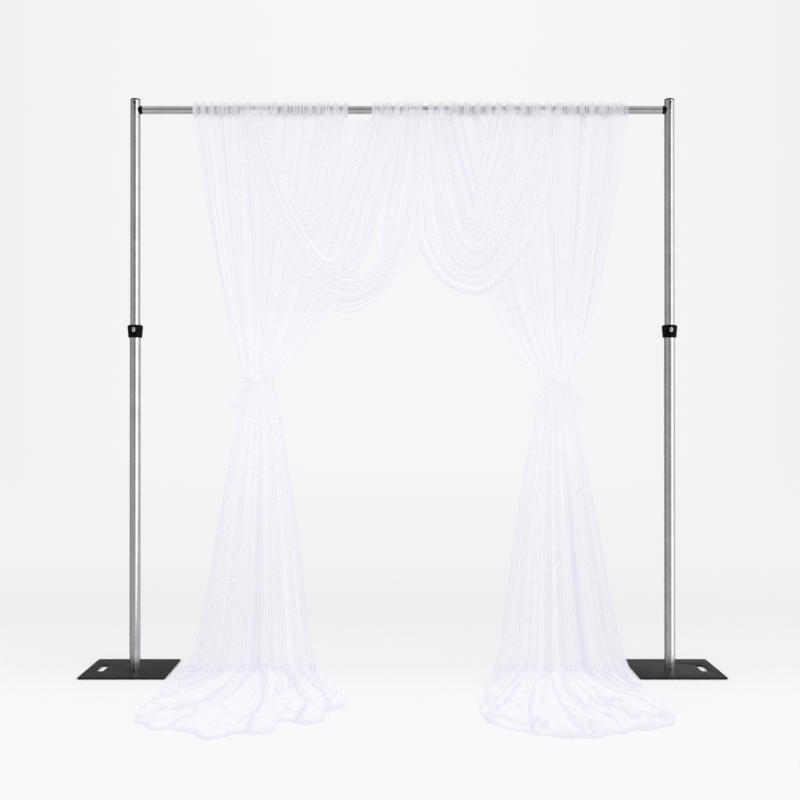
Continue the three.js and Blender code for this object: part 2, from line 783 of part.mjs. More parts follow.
// One base with its pads, spigot and bolt.
function buildBase(group, name, side) {
  piece(group, `${name}_base_plate`, plateGeometry(side), finishes.powderCoat);
  piece(group, `${name}_spigot`, spigotGeometry(), finishes.brightSteel);
  piece(group, `${name}_base_bolt`, boltGeometry(), finishes.brightSteel);
  const reach = plateSide / 2 - padInset;
  for (const [row, y] of [["front", -reach], ["back", reach]]) {
    for (const [column, x] of [["inner", -side * reach], ["outer", side * reach]]) {
      const disc = rod(padRadius, 0, padHeight, padSides);
      const pad = piece(group, `${name}_pad_${row}_${column}`, disc, finishes.rubber);
      pad.position.set(x + side * plateOutboard, y, 0);
    }
  }
}

// One telescopic mast with its foot sleeve, rivets, head and cap.
function buildMast(group, name) {
  const holes = crossDrill(rivetRadius + seat, rivetHeight, lowerRadius + overrun);
  const lower = cut(tube(lowerRadius, lowerBore, mastFoot, lowerTop), holes);
  const sleeve = cut(tube(sleeveRadius, sleeveBore, mastFoot, mastFoot + sleeveHeight, innerSides), holes);
  piece(group, `${name}_lower_tube`, lower, finishes.aluminium);
  piece(group, `${name}_foot_sleeve`, sleeve, finishes.nylon);
  for (const [place, turn] of [["inner", 1], ["outer", -1]]) {
    const length = lowerRadius + seat - sleeveBore;
    const rivet = rivetGeometry(rivetRadius, rivetHeadRadius, rivetHeadHeight, lowerRadius + seat, length);
    const mesh = piece(group, `${name}_foot_rivet_${place}`, rivet, finishes.brightSteel);
    mesh.rotation.y = turn * quarterTurn;
    mesh.position.z = rivetHeight;
  }
  const upper = tube(upperRadius, upperBore, upperBottom, headBottom - seat);
  piece(group, `${name}_upper_tube`, upper, finishes.aluminium);
  piece(group, `${name}_guide_plug`, guidePlugGeometry(), finishes.nylon);
  piece(group, `${name}_mast_head`, headGeometry(), finishes.aluminium);
  piece(group, `${name}_mast_cap`, capGeometry(), finishes.blackPlastic);
}

// One locking collar with its push button, latch ring and leaf spring.
function buildLock(group, name) {
  piece(group, `${name}_collar`, collarGeometry(), finishes.blackPlastic);
  piece(group, `${name}_lock_button`, buttonGeometry(), finishes.chrome);
  piece(group, `${name}_latch_ring`, ringGeometry(), finishes.brightSteel);
  piece(group, `${name}_lock_spring`, leafGeometry(), finishes.brightSteel);
}

// A bar tube between two places along X.
function barTube(outer, wall, from, to) {
  return tube(outer, outer - wall, from, to).rotateY(quarterTurn).translate(0, 0, barHeight);
}

// The rivet's hole and its rivet point forwards and a little up, a distance along the bar.
function barRivetPlace(geometry, x) {
  return geometry.rotateX(quarterTurn).rotateX(-barRivetTurn).translate(x, 0, barHeight);
}

// End hook on the +X end of a bar: coped to the mast, a plug inside the bar and a headed stud.
function hookGeometry() {
  const plugRadius = barRadius - barWall - seat;
  const start = barEndX - hookPlug;
  const body = revolve([
    [hookPlugBore, start],
    [plugRadius, start],
    [plugRadius, barEndX + seat],
    [barRadius, barEndX + seat],
    [barRadius, mastX],
    [0, mastX],
    [0, start + hookPlugBoreDepth],
    [hookPlugBore, start + hookPlugBoreDepth],
    [hookPlugBore, start],
  ]).rotateY(quarterTurn);
  const mast = rod(upperRadius + seat, -2 * barRadius, 2 * barRadius, tubeSides).translate(mastX, 0, 0);
  const coped = cut(body, mast);
  const neckStart = mastX - upperRadius - hookLength / 2;
  const headStart = mastX - studReach;
  const stud = revolve([
    [0, neckStart],
    [studNeckRadius, neckStart],
    [studNeckRadius, headStart],
    [studHeadRadius, headStart],
    [studHeadRadius, headStart + studHeadThickness],
    [0, headStart + studHeadThickness],
  ], smallSides).rotateY(quarterTurn);
  return join(coped, stud).translate(0, 0, barHeight);
}

// The crossbar: two outer tubes over one inner tube, with a riveted hook at each end.
function buildCrossbar(group) {
  const rightBarStart = leftBarEnd + barExposed;
  const drillLength = barRadius + overrun;
  for (const [name, side, from, to] of [
    ["left", -1, -barEndX, leftBarEnd],
    ["right", 1, rightBarStart, barEndX],
  ]) {
    const rivetX = side * (barEndX - barRivetInset);
    const hole = rod(barRivetRadius + seat, barRadius - barRivetLength - seat, drillLength);
    const drill = barRivetPlace(hole, rivetX);
    piece(group, `${name}_bar_tube`, cut(barTube(barRadius, barWall, from, to), drill), finishes.aluminium);
    const hook = side > 0 ? hookGeometry() : hookGeometry().rotateZ(Math.PI);
    piece(group, `${name}_hook`, cut(hook, drill), finishes.blackPlastic);
    const under = barRadius + seat;
    const rivet = rivetGeometry(
      barRivetRadius, barRivetHeadRadius, barRivetHeadHeight, under, barRivetLength,
    );
    piece(group, `${name}_bar_rivet`, barRivetPlace(rivet, rivetX), finishes.brightSteel);
  }
  const inner = barTube(
    innerBarRadius,
    innerBarWall,
    leftBarEnd - barOpens - barHolds,
    rightBarStart + innerBarFixed,
  );
  piece(group, "inner_bar_tube", inner, finishes.aluminium);
}

// One side's curtain, swag, sash, skirt and pool.
function buildDrape(group, name, shape) {
  const { top, waist, width, spread, pocketBreak, swag, skirt, pool, tails } = shape;
  piece(group, `${name}_panel`, panelGeometry(top, waist, width, spread, pocketBreak), finishes.tulle);
  piece(group, `${name}_swag`, swagGeometry(...swag), finishes.tulle);
  piece(group, `${name}_sash`, sashGeometry(waist, width, tails), finishes.tulle);
  piece(group, `${name}_skirt`, skirtGeometry(waist, width, ...skirt, pool), finishes.tulle);
  piece(group, `${name}_pool`, poolGeometry(...pool), finishes.tulle);
}

for (const [name, side] of [["left", -1], ["right", 1]]) {
  const stand = new THREE.Group();
  stand.position.x = side * mastX;
  buildBase(stand, name, side);
  buildMast(stand, name);
  buildLock(stand, name);
  root.add(stand);
}
buildCrossbar(root);
buildDrape(root, "left", {
  top: [leftPanelOuter, leftPanelInner],
  waist: leftWaistCentre,
  width: leftWaistWidth,
  spread: leftSpreadShare,
  pocketBreak: [leftPocketGapFrom, leftPocketGapTo],
  swag: [leftSwagOuter, leftSwagDrop, leftSwagOuterShares, leftSwagInner, leftSwagInnerDrop],
  skirt: [leftSkirtEdges, leftHemGap],
  pool: [leftPoolCentre, leftPoolHalf, leftPoolSquareness],
  tails: [-1],
});
buildDrape(root, "right", {
  top: [rightPanelInner, rightPanelOuter],
  waist: rightWaistCentre,
  width: rightWaistWidth,
  spread: rightSpreadShare,
  pocketBreak: null,
  swag: [rightSwagOuter, rightSwagDrop, rightSwagOuterShares, rightSwagInner, rightSwagInnerDrop],
  skirt: [rightSkirtEdges, rightHemGap],
  pool: [rightPoolCentre, rightPoolHalf, rightPoolSquareness],
  tails: [-1, 1],
});

// The origin lies on the floor under the middle of the whole part.
const middle = new THREE.Box3().setFromObject(root, true).getCenter(new THREE.Vector3());
for (const child of root.children) {
  child.position.x -= middle.x;
  child.position.y -= middle.y;
}

export default root;
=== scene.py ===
"""A pipe and drape backdrop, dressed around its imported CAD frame.

Metres, +Z up, +X to the viewer's right, the viewer at -Y. The two masts stand in one plane, and the
drapery hangs from the crossbar between them.
"""

import logging
import math
from collections.abc import Sequence
from dataclasses import dataclass
from enum import Enum
from functools import partial

import bpy
import numpy as np
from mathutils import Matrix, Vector


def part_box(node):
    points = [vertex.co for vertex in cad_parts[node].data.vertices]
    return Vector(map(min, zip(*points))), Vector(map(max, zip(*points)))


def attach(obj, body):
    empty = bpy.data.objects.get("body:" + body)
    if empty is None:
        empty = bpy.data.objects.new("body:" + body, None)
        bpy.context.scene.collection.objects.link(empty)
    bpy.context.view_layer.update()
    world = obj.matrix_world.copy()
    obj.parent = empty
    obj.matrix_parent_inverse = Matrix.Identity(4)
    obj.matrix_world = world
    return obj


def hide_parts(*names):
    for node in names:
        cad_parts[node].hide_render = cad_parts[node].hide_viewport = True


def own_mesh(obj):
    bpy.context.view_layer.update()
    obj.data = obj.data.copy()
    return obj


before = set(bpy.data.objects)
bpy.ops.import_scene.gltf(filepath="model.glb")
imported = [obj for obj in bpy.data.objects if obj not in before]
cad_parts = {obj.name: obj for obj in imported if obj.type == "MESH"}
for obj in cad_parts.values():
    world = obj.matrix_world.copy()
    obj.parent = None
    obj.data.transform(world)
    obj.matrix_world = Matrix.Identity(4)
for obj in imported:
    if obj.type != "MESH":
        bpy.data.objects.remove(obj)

Piece = bpy.types.Object
Tree = bpy.types.NodeTree
Socket = bpy.types.NodeSocket
Grid = np.ndarray
Pairs = Sequence[tuple[float, float]]

log = logging.getLogger("backdrop")
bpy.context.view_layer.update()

MAST_PLANE = sum(corner.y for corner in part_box("left_upper_tube")) / 2
BAR_HEIGHT = sum(corner.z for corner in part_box("left_bar_tube")) / 2
SASH_HEIGHT = 1.392
MM_IN_M = 1000
TURN = 2 * math.pi
QUARTER = math.pi / 2
CLEAR = 0.0003  # room between two pieces that meet


class Side(Enum):
    """Which end of the stand a piece belongs to, by the sign of its x."""

    LEFT = -1
    RIGHT = 1

    @property
    def word(self) -> str:
        """The side's name as the CAD nodes have it."""
        return self.name.lower()

    def of(self, part: str) -> str:
        """The name of this side's own copy of a part."""
        return f"{self.word}_{part}"

    def box(self, part: str) -> tuple[Vector, Vector]:
        """The low and the high corner of this side's copy of a CAD part."""
        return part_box(self.of(part))


# ---------------------------------------------------------------- nodes and colours


def srgb(code: str) -> tuple[float, float, float, float]:
    """Turns an sRGB hex colour into the linear one that shaders take.

    Args:
        code: Six hex digits after a hash sign.

    Returns:
        Red, green, blue and an alpha of 1.
    """
    parts = [int(code[i : i + 2], 16) / 255 for i in (1, 3, 5)]
    linear = [p / 12.92 if p <= 0.04045 else ((p + 0.055) / 1.055) ** 2.4 for p in parts]
    return (linear[0], linear[1], linear[2], 1.0)


def add_node(tree: Tree, kind: str, inputs: dict | None = None, **settings: object) -> bpy.types.Node:
    """Adds a shader node with its settings, input values and links.

    Args:
        tree: The node tree that gets it.
        kind: The node's type, without the "ShaderNode" that they all begin with.
        inputs: For each input's name or number, a value, an output to link from, or a node for its first output.
        settings: The node's own properties.

    Returns:
        The new node.
    """
    made = tree.nodes.new(f"ShaderNode{kind}")
    for name, value in settings.items():
        setattr(made, name, value)
    for key, value in (inputs or {}).items():
        if isinstance(value, bpy.types.Node):
            value = value.outputs[0]
        if isinstance(value, Socket):
            tree.links.new(value, made.inputs[key])
        else:
            made.inputs[key].default_value = value
    return made


def blank_material(name: str) -> tuple[bpy.types.Material, Tree]:
    """A new material with an empty node tree, and that tree.

    Args:
        name: What the material is.

    Returns:
        The material, and its tree.
    """
    material = bpy.data.materials.new(name)
    material.use_nodes = True
    material.node_tree.nodes.clear()
    return material, material.node_tree


def show(tree: Tree, shader: bpy.types.Node) -> None:
    """Links a shader to the output of a material or a world."""
    kind = "OutputWorld" if any(node.type == "BACKGROUND" for node in tree.nodes) else "OutputMaterial"
    add_node(tree, kind, {"Surface": shader})


# ---------------------------------------------------------------- finishes


@dataclass(frozen=True)
class Grained:
    """A hard finish: two shades and two roughnesses that one noise blends, with a bump from another.

    Attributes:
        name: What the material is and how its surface was made.
        dark: The shade in the hollows of the pattern.
        light: The shade on its high places.
        rough: Roughness from the smoothest place to the dullest.
        metal: 1 for bare metal, 0 for paint, plastic or rubber.
        stretch: How much the pattern is squeezed along X, Y and Z.
        grain_mm: Size of the pattern's features across the stretch.
        bump_mm: Height of the surface's relief.
        wear_mm: Size of the broad patches that handling leaves.
        gloss: Strength of a coat's shine, 0.5 for common plastics.
    """

    name: str
    dark: str
    light: str
    rough: tuple[float, float]
    metal: float
    stretch: tuple[float, float, float] = (1.0, 1.0, 1.0)
    grain_mm: float = 1.0
    bump_mm: float = 0.01
    wear_mm: float = 60.0
    gloss: float = 0.5

    def material(self) -> bpy.types.Material:
        """The material, made once and then shared.

        Returns:
            The material of this finish.
        """
        if self.name in bpy.data.materials:
            return bpy.data.materials[self.name]
        material, tree = blank_material(self.name)
        add = partial(add_node, tree)
        place = add("TexCoord").outputs["Object"]
        stretched = add("Mapping", {"Vector": place, "Scale": self.stretch})
        fine = add("TexNoise", {"Vector": stretched, "Scale": MM_IN_M / self.grain_mm, "Detail": 3.0})
        broad = add("TexNoise", {"Vector": place, "Scale": MM_IN_M / self.wear_mm, "Detail": 4.0})
        both = add("Math", {0: fine, 1: broad}, operation="ADD")
        spread = {"Value": both, "From Min": 0.7, "From Max": 1.3}
        shade = add("Mix", {0: add("MapRange", spread), 6: srgb(self.dark), 7: srgb(self.light)}, data_type="RGBA")
        rough = add("MapRange", spread | {"To Min": self.rough[0], "To Max": self.rough[1]})
        bump = add("Bump", {"Height": fine, "Strength": 1.0, "Distance": self.bump_mm / MM_IN_M})
        show(tree, add("BsdfPrincipled", {
            "Base Color": shade.outputs[2], "Metallic": self.metal, "Specular IOR Level": self.gloss,
            "Roughness": rough, "Normal": bump,
        }))
        return material


# Drawn aluminium tube, mill finish: the die leaves hair lines along it, so it shines in long soft streaks.
MILL = "#a6a7a8", "#b9babb"
ALUMINIUM_UPRIGHT = Grained("drawn aluminium, upright", *MILL, (0.18, 0.28), 1.0, (1, 1, 0.006), 0.8, 0.003)
ALUMINIUM_BAR = Grained("drawn aluminium, along the bar", *MILL, (0.09, 0.16), 1.0, (0.006, 1, 1), 0.8, 0.002)
# Steel plate with a baked powder coat: an even dark grey with a low orange peel that breaks its gloss.
POWDER_COAT = Grained("powder coated steel", "#14191b", "#1a1f22", (0.26, 0.36), 0.0, (1, 1, 1), 2.4, 0.02, 90, 0.1)
# Moulded black ABS: near black, glossy on its rounded edges, with a faint flow of the mould in its shine.
ABS = Grained("moulded black ABS", "#040405", "#080809", (0.26, 0.36), 0.0, (1, 1, 1), 1.1, 0.01, 25, 0.05)
# Chromed push button: a mirror that only finger marks dull.
CHROME = Grained("chromed steel", "#d3d6d9", "#e8eaec", (0.05, 0.14), 1.0, (1, 1, 1), 5.0, 0.002, 8)
# Zinc-plated steel: pale, cloudy and softer in shine than chrome.
ZINC = Grained("zinc-plated steel", "#a3a6a6", "#c3c5c4", (0.28, 0.42), 1.0, (1, 1, 1), 1.6, 0.006, 12)
# Turned nylon: waxy, off-white and without a sharp highlight.
NYLON = Grained("turned nylon", "#cfccc2", "#dedbd2", (0.45, 0.6), 0.0, (1, 1, 0.05), 0.6, 0.01, 20)
# Moulded rubber pad: matt black with a fine tooth.
RUBBER = Grained("moulded rubber", "#161617", "#222223", (0.75, 0.9), 0.0, (1, 1, 1), 0.7, 0.03, 15)


@dataclass(frozen=True)
class Tulle:
    """Soft white net: its threads scatter light, and its holes let the background through.

    The net's holes are under a millimetre, too fine for the picture, so gathers of threads are drawn, and
    the rest of the net is an even veil. Light that a layer doesn't stop goes on to the layers behind, and
    the threads pass most of what they catch, so that a bunch of net stays bright inside.

    Attributes:
        sparse: The colour of a single layer, a painted shade: greyer, because its threads stand in each other's
            shade.
        dense: The colour of many layers.
        crease: The painted shade down in a fold, where the cloth lies in its own shade.
        veil: Share of the light that one flat layer stops.
        glow: Share of the stopped light that goes through and out of the far side.
        thread_mm: Width of a drawn gather of threads.
        thread_stretch: That width over its length.
    """

    sparse: str = "#f1f0f8"
    dense: str = "#fbfaff"
    crease: str = "#e9e7f4"
    veil: float = 0.36
    glow: float = 0.45
    thread_mm: float = 20.0
    thread_stretch: float = 0.015

    def material(self) -> bpy.types.Material:
        """The material, which reads the sheet's UV map and its gather, crease and cast attributes.

        Returns:
            The one material of all the net.
        """
        name = "white nylon tulle"
        if name in bpy.data.materials:
            return bpy.data.materials[name]
        material, tree = blank_material(name)
        add = partial(add_node, tree)
        gather, fold, cast = (
            add("Attribute", attribute_name=key).outputs["Fac"] for key in ("gather", "crease", "cast")
        )
        drawn_out = add("Mapping", {"Vector": add("UVMap"), "Scale": (1.0, self.thread_stretch, 1.0)})
        streak = add("TexNoise", {"Vector": drawn_out, "Scale": MM_IN_M / self.thread_mm, "Detail": 1.0})
        net = add("MapRange", {"Value": streak, "From Min": 0.3, "From Max": 0.7, "To Min": 0.80, "To Max": 1.20})
        layers = add("Math", {0: gather, 1: net}, operation="MULTIPLY")
        path = add("LightPath").outputs
        unseen = add("Math", {0: path["Is Shadow Ray"], 1: path["Is Diffuse Ray"]}, operation="MAXIMUM")
        stopping = add("Mix", {0: unseen, 2: layers, 3: cast})
        open_share = add("Math", {0: 1 - self.veil, 1: stopping}, operation="POWER")
        veil = add("Math", {0: 1.0, 1: open_share}, operation="SUBTRACT")
        # painted shade: thin net takes the greyer sparse colour, and many layers take the dense white
        body = add("MapRange", {"Value": layers, "From Min": 0.8, "From Max": 3.2})
        colour = add("Mix", {0: body, 6: srgb(self.sparse), 7: srgb(self.dense)}, data_type="RGBA").outputs[2]
        # painted shade down in folds and along hems, by the crease attribute
        colour = add("Mix", {0: fold, 6: colour, 7: srgb(self.crease)}, data_type="RGBA").outputs[2]
        front, through = (add(f"Bsdf{kind}", {"Color": colour}) for kind in ("Diffuse", "Translucent"))
        threads = add("MixShader", {0: self.glow, 1: front, 2: through})
        show(tree, add("MixShader", {0: veil, 1: add("BsdfTransparent"), 2: threads}))
        return material


TULLE = Tulle()


# ---------------------------------------------------------------- modelling by hand


def deselect() -> None:
    """Leaves nothing selected, so that an operator acts on the new piece alone."""
    if bpy.context.object and bpy.context.object.mode != "OBJECT":
        bpy.ops.object.mode_set(mode="OBJECT")
    bpy.ops.object.select_all(action="DESELECT")


def pick(piece: Piece) -> None:
    """Makes a piece the active one and the only one selected.

    Args:
        piece: The piece that the next operators act on.
    """
    deselect()
    piece.select_set(True)
    bpy.context.view_layer.objects.active = piece


def choose(piece: Piece, kind: str, chosen: Sequence[bool]) -> None:
    """Opens a piece in edit mode with only the chosen vertices, edges or faces selected.

    Args:
        piece: The piece, which is the active one.
        kind: VERT, EDGE or FACE.
        chosen: Whether each of them is wanted.
    """
    bpy.ops.object.mode_set(mode="EDIT")
    bpy.ops.mesh.select_mode(type=kind)
    bpy.ops.mesh.select_all(action="DESELECT")
    bpy.ops.object.mode_set(mode="OBJECT")
    mesh = piece.data
    {"VERT": mesh.vertices, "EDGE": mesh.edges, "FACE": mesh.polygons}[kind].foreach_set("select", chosen)
    bpy.ops.object.mode_set(mode="EDIT")


def settle(piece: Piece, name: str) -> Piece:
    """Names a piece and puts its place into its mesh.

    Args:
        piece: The piece.
        name: Its name, and its mesh's.

    Returns:
        The same piece.
    """
    pick(piece)
    bpy.ops.object.transform_apply(location=True, rotation=True, scale=True)
    piece.name = piece.data.name = name
    return piece


def soften(piece: Piece, angle: float = 35.0) -> Piece:
    """Shades a piece smooth but for its edges sharper than an angle in degrees.

    Args:
        piece: The piece.
        angle: The angle, in degrees.

    Returns:
        The same piece.
    """
    pick(piece)
    bpy.ops.object.shade_smooth_by_angle(angle=math.radians(angle))
    return piece


def apply_modifier(piece: Piece, kind: str, **settings: object) -> Piece:
    """Adds a modifier with its settings and applies it.

    Args:
        piece: The piece.
        kind: The modifier's type.
        settings: The modifier's own properties.

    Returns:
        The same piece.
    """
    pick(piece)
    modifier = piece.modifiers.new(kind.lower(), kind)
    for name, value in settings.items():
        setattr(modifier, name, value)
    bpy.ops.object.modifier_apply(modifier=modifier.name)
    return piece


def carve(piece: Piece, tools: Sequence[Piece]) -> Piece:
    """Cuts the tools out of a piece, and deletes them.

    Args:
        piece: The piece to cut.
        tools: Closed pieces in the shape of what goes.

    Returns:
        The same piece.
    """
    for tool in tools:
        apply_modifier(piece, "BOOLEAN", operation="DIFFERENCE", object=tool, solver="EXACT")
        bpy.data.objects.remove(tool)
    return piece


def turned(name: str, profile: Pairs, steps: int = 72) -> Piece:
    """Turns a profile of (radius, height) pairs about the Z axis, as on a lathe.

    Args:
        name: The piece's name.
        profile: The outline. It closes on itself or ends on the axis.
        steps: Facets round the piece.

    Returns:
        The closed piece, with its faces outwards.
    """
    deselect()
    bpy.ops.mesh.primitive_plane_add(size=0.01)
    piece = bpy.context.object
    bpy.ops.object.mode_set(mode="EDIT")
    bpy.ops.mesh.select_mode(type="VERT")
    bpy.ops.mesh.select_all(action="SELECT")
    bpy.ops.mesh.merge(type="CENTER")
    first = profile[0]
    bpy.ops.transform.translate(value=(first[0], 0, first[1]))
    for (ra, za), (rb, zb) in zip(profile, profile[1:]):
        bpy.ops.mesh.extrude_region_move(TRANSFORM_OT_translate={"value": (rb - ra, 0, zb - za)})
    bpy.ops.mesh.select_all(action="SELECT")
    bpy.ops.mesh.spin(steps=steps, angle=TURN, center=(0, 0, 0), axis=(0, 0, 1))
    bpy.ops.mesh.select_all(action="SELECT")
    bpy.ops.mesh.remove_doubles(threshold=2e-6)
    bpy.ops.mesh.normals_make_consistent(inside=False)
    bpy.ops.object.mode_set(mode="OBJECT")
    return settle(piece, name)


def moved(
    piece: Piece, place: Sequence[float], turn: Sequence[float] = (0.0, 0.0, 0.0)
) -> Piece:
    """Turns a piece about the origin, moves it to its place and puts both into its mesh.

    Args:
        piece: The piece, modelled at the origin.
        place: Where its origin goes.
        turn: Its turns about X, Y and Z.

    Returns:
        The same piece.
    """
    piece.rotation_euler = turn
    piece.location = place
    return settle(piece, piece.name)


def arch(radius: float, centre: float, height: float, rise: float, steps: int) -> list[tuple[float, float]]:
    """A quarter round as (radius, height) pairs, from its widest place up and in.

    Args:
        radius: How far the quarter round reaches out.
        centre: Radius of its middle.
        height: Height of its middle.
        rise: How far it reaches up.
        steps: How many pairs.

    Returns:
        The pairs.
    """
    angles = np.linspace(0, QUARTER, steps)
    points = [(centre + radius * math.cos(a), height + rise * math.sin(a)) for a in angles]
    return points[:-1] + [(centre, height + rise)]


def pipe(name: str, radius: float, wall: float, length: float, sides: int = 72) -> Piece:
    """An upright tube from the floor, with its cut ends broken.

    Args:
        name: The piece's name.
        radius: Outer radius.
        wall: Wall thickness.
        length: Length along Z.
        sides: Facets round the tube.

    Returns:
        The tube.
    """
    lip = min(0.0004, wall / 4)
    inner, top = radius - wall, length - lip
    return turned(name, [
        (inner, lip), (inner + lip, 0.0), (radius - lip, 0.0), (radius, lip), (radius, top), (radius - lip, length),
        (inner + lip, length), (inner, top), (inner, lip),
    ], sides)


def rod_tool(radius: float, length: float, place: Vector, turn: Sequence[float]) -> Piece:
    """A round cutter that points from its place along turned Z.

    Args:
        radius: The cutter's radius.
        length: Its length.
        place: Where its near end is.
        turn: Its turns about X, Y and Z.

    Returns:
        The cutter.
    """
    deselect()
    bpy.ops.mesh.primitive_cylinder_add(vertices=48, radius=radius, depth=length, location=(0, 0, length / 2))
    return moved(settle(bpy.context.object, "rod"), place, turn)


def dress(piece: Piece, finish: Grained | Tulle, body: str, node: str) -> Piece:
    """Gives a piece its finish and its body, and hides the CAD node that it stands for.

    Args:
        piece: The finished piece.
        finish: What it is made of.
        body: The CAD body that it rides on.
        node: The CAD node that it replaces.

    Returns:
        The same piece.
    """
    piece.data.materials.clear()
    piece.data.materials.append(finish.material())
    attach(piece, body)
    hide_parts(node)
    log.info("%s rides on %s, %d faces", piece.name, body, len(piece.data.polygons))
    return piece


def refinish(node: str, finish: Grained) -> None:
    """Gives a CAD node that stays on show its finish.

    Args:
        node: The CAD node.
        finish: What it is made of.
    """
    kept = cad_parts[node]
    kept.data.materials.clear()
    kept.data.materials.append(finish.material())
    log.info("%s keeps its CAD shape", node)


# ---------------------------------------------------------------- stand


@dataclass
class Base:
    """One steel base plate with its hand slot, rubber pads, spigot and bolt.

    Attributes:
        side: Which end of the stand it carries.
        corner: Radius of the plate's corners.
        edge: Radius that the coat gives the plate's edges.
        slot_size: The hand slot's width and length.
        slot_corner: Radius of its corners.
        slot_inset: From the plate's outer edge to the slot.
    """

    side: Side
    corner: float = 0.009
    edge: float = 0.0009
    slot_size: tuple[float, float] = (0.036, 0.130)
    slot_corner: float = 0.012
    slot_inset: float = 0.050

    def build(self) -> None:
        """Builds the plate and the pads, and dresses the pieces hidden inside."""
        side, body = self.side, self.side.of("base")
        dress(self.plate(), POWDER_COAT, body, side.of("base_plate"))
        for row in ("front", "back"):
            for column in ("inner", "outer"):
                node = side.of(f"pad_{row}_{column}")
                dress(self.pad(node), RUBBER, body, node)
        refinish(side.of("spigot"), ZINC)
        refinish(side.of("base_bolt"), ZINC)

    def rounded_slab(self, name: str, size: Sequence[float], centre: Sequence[float], corner: float) -> Piece:
        """A block whose upright edges are rounded.

        Args:
            name: The block's name.
            size: Its size along X, Y and Z.
            centre: Its middle.
            corner: Radius of its upright edges.

        Returns:
            The block.
        """
        deselect()
        bpy.ops.mesh.primitive_cube_add(size=1, location=centre)
        slab = bpy.context.object
        slab.scale = size
        settle(slab, name)
        heights = [[slab.data.vertices[i].co.z for i in edge.vertices] for edge in slab.data.edges]
        choose(slab, "EDGE", [abs(a - b) > size[2] / 2 for a, b in heights])
        bpy.ops.mesh.bevel(offset=corner, segments=8, affect="EDGES")
        bpy.ops.object.mode_set(mode="OBJECT")
        return slab

    def plate(self) -> Piece:
        """The plate, cut with its slot and softened by its coat.

        Returns:
            The plate, in its place.
        """
        low, high = self.side.box("base_plate")
        size, centre = high - low, (high + low) / 2
        slab = self.rounded_slab(self.side.of("plate_steel"), size, centre, self.corner)
        slot_x = centre.x + self.side.value * (size.x / 2 - self.slot_inset - self.slot_size[0] / 2)
        slot = self.rounded_slab("slot", (*self.slot_size, 4 * size.z), (slot_x, *centre.yz), self.slot_corner)
        carve(slab, [slot])
        sharp = math.radians(50)
        apply_modifier(slab, "BEVEL", width=self.edge, segments=3, limit_method="ANGLE", angle_limit=sharp)
        return soften(slab)

    def pad(self, node: str) -> Piece:
        """A rubber pad with a rolled foot.

        Args:
            node: The CAD node that it stands for.

        Returns:
            The pad, in its place.
        """
        low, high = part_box(node)
        radius, height = (high.x - low.x) / 2, high.z - low.z
        roll = 0.4 * height
        pad = turned(f"{node}_rubber", [
            (0.0, 0.0), (radius - roll, 0.0), (radius - 0.3 * roll, 0.3 * roll), (radius, roll), (radius, height),
            (0.0, height),
        ], 40)
        return soften(moved(pad, (*((low + high) / 2).xy, low.z)))


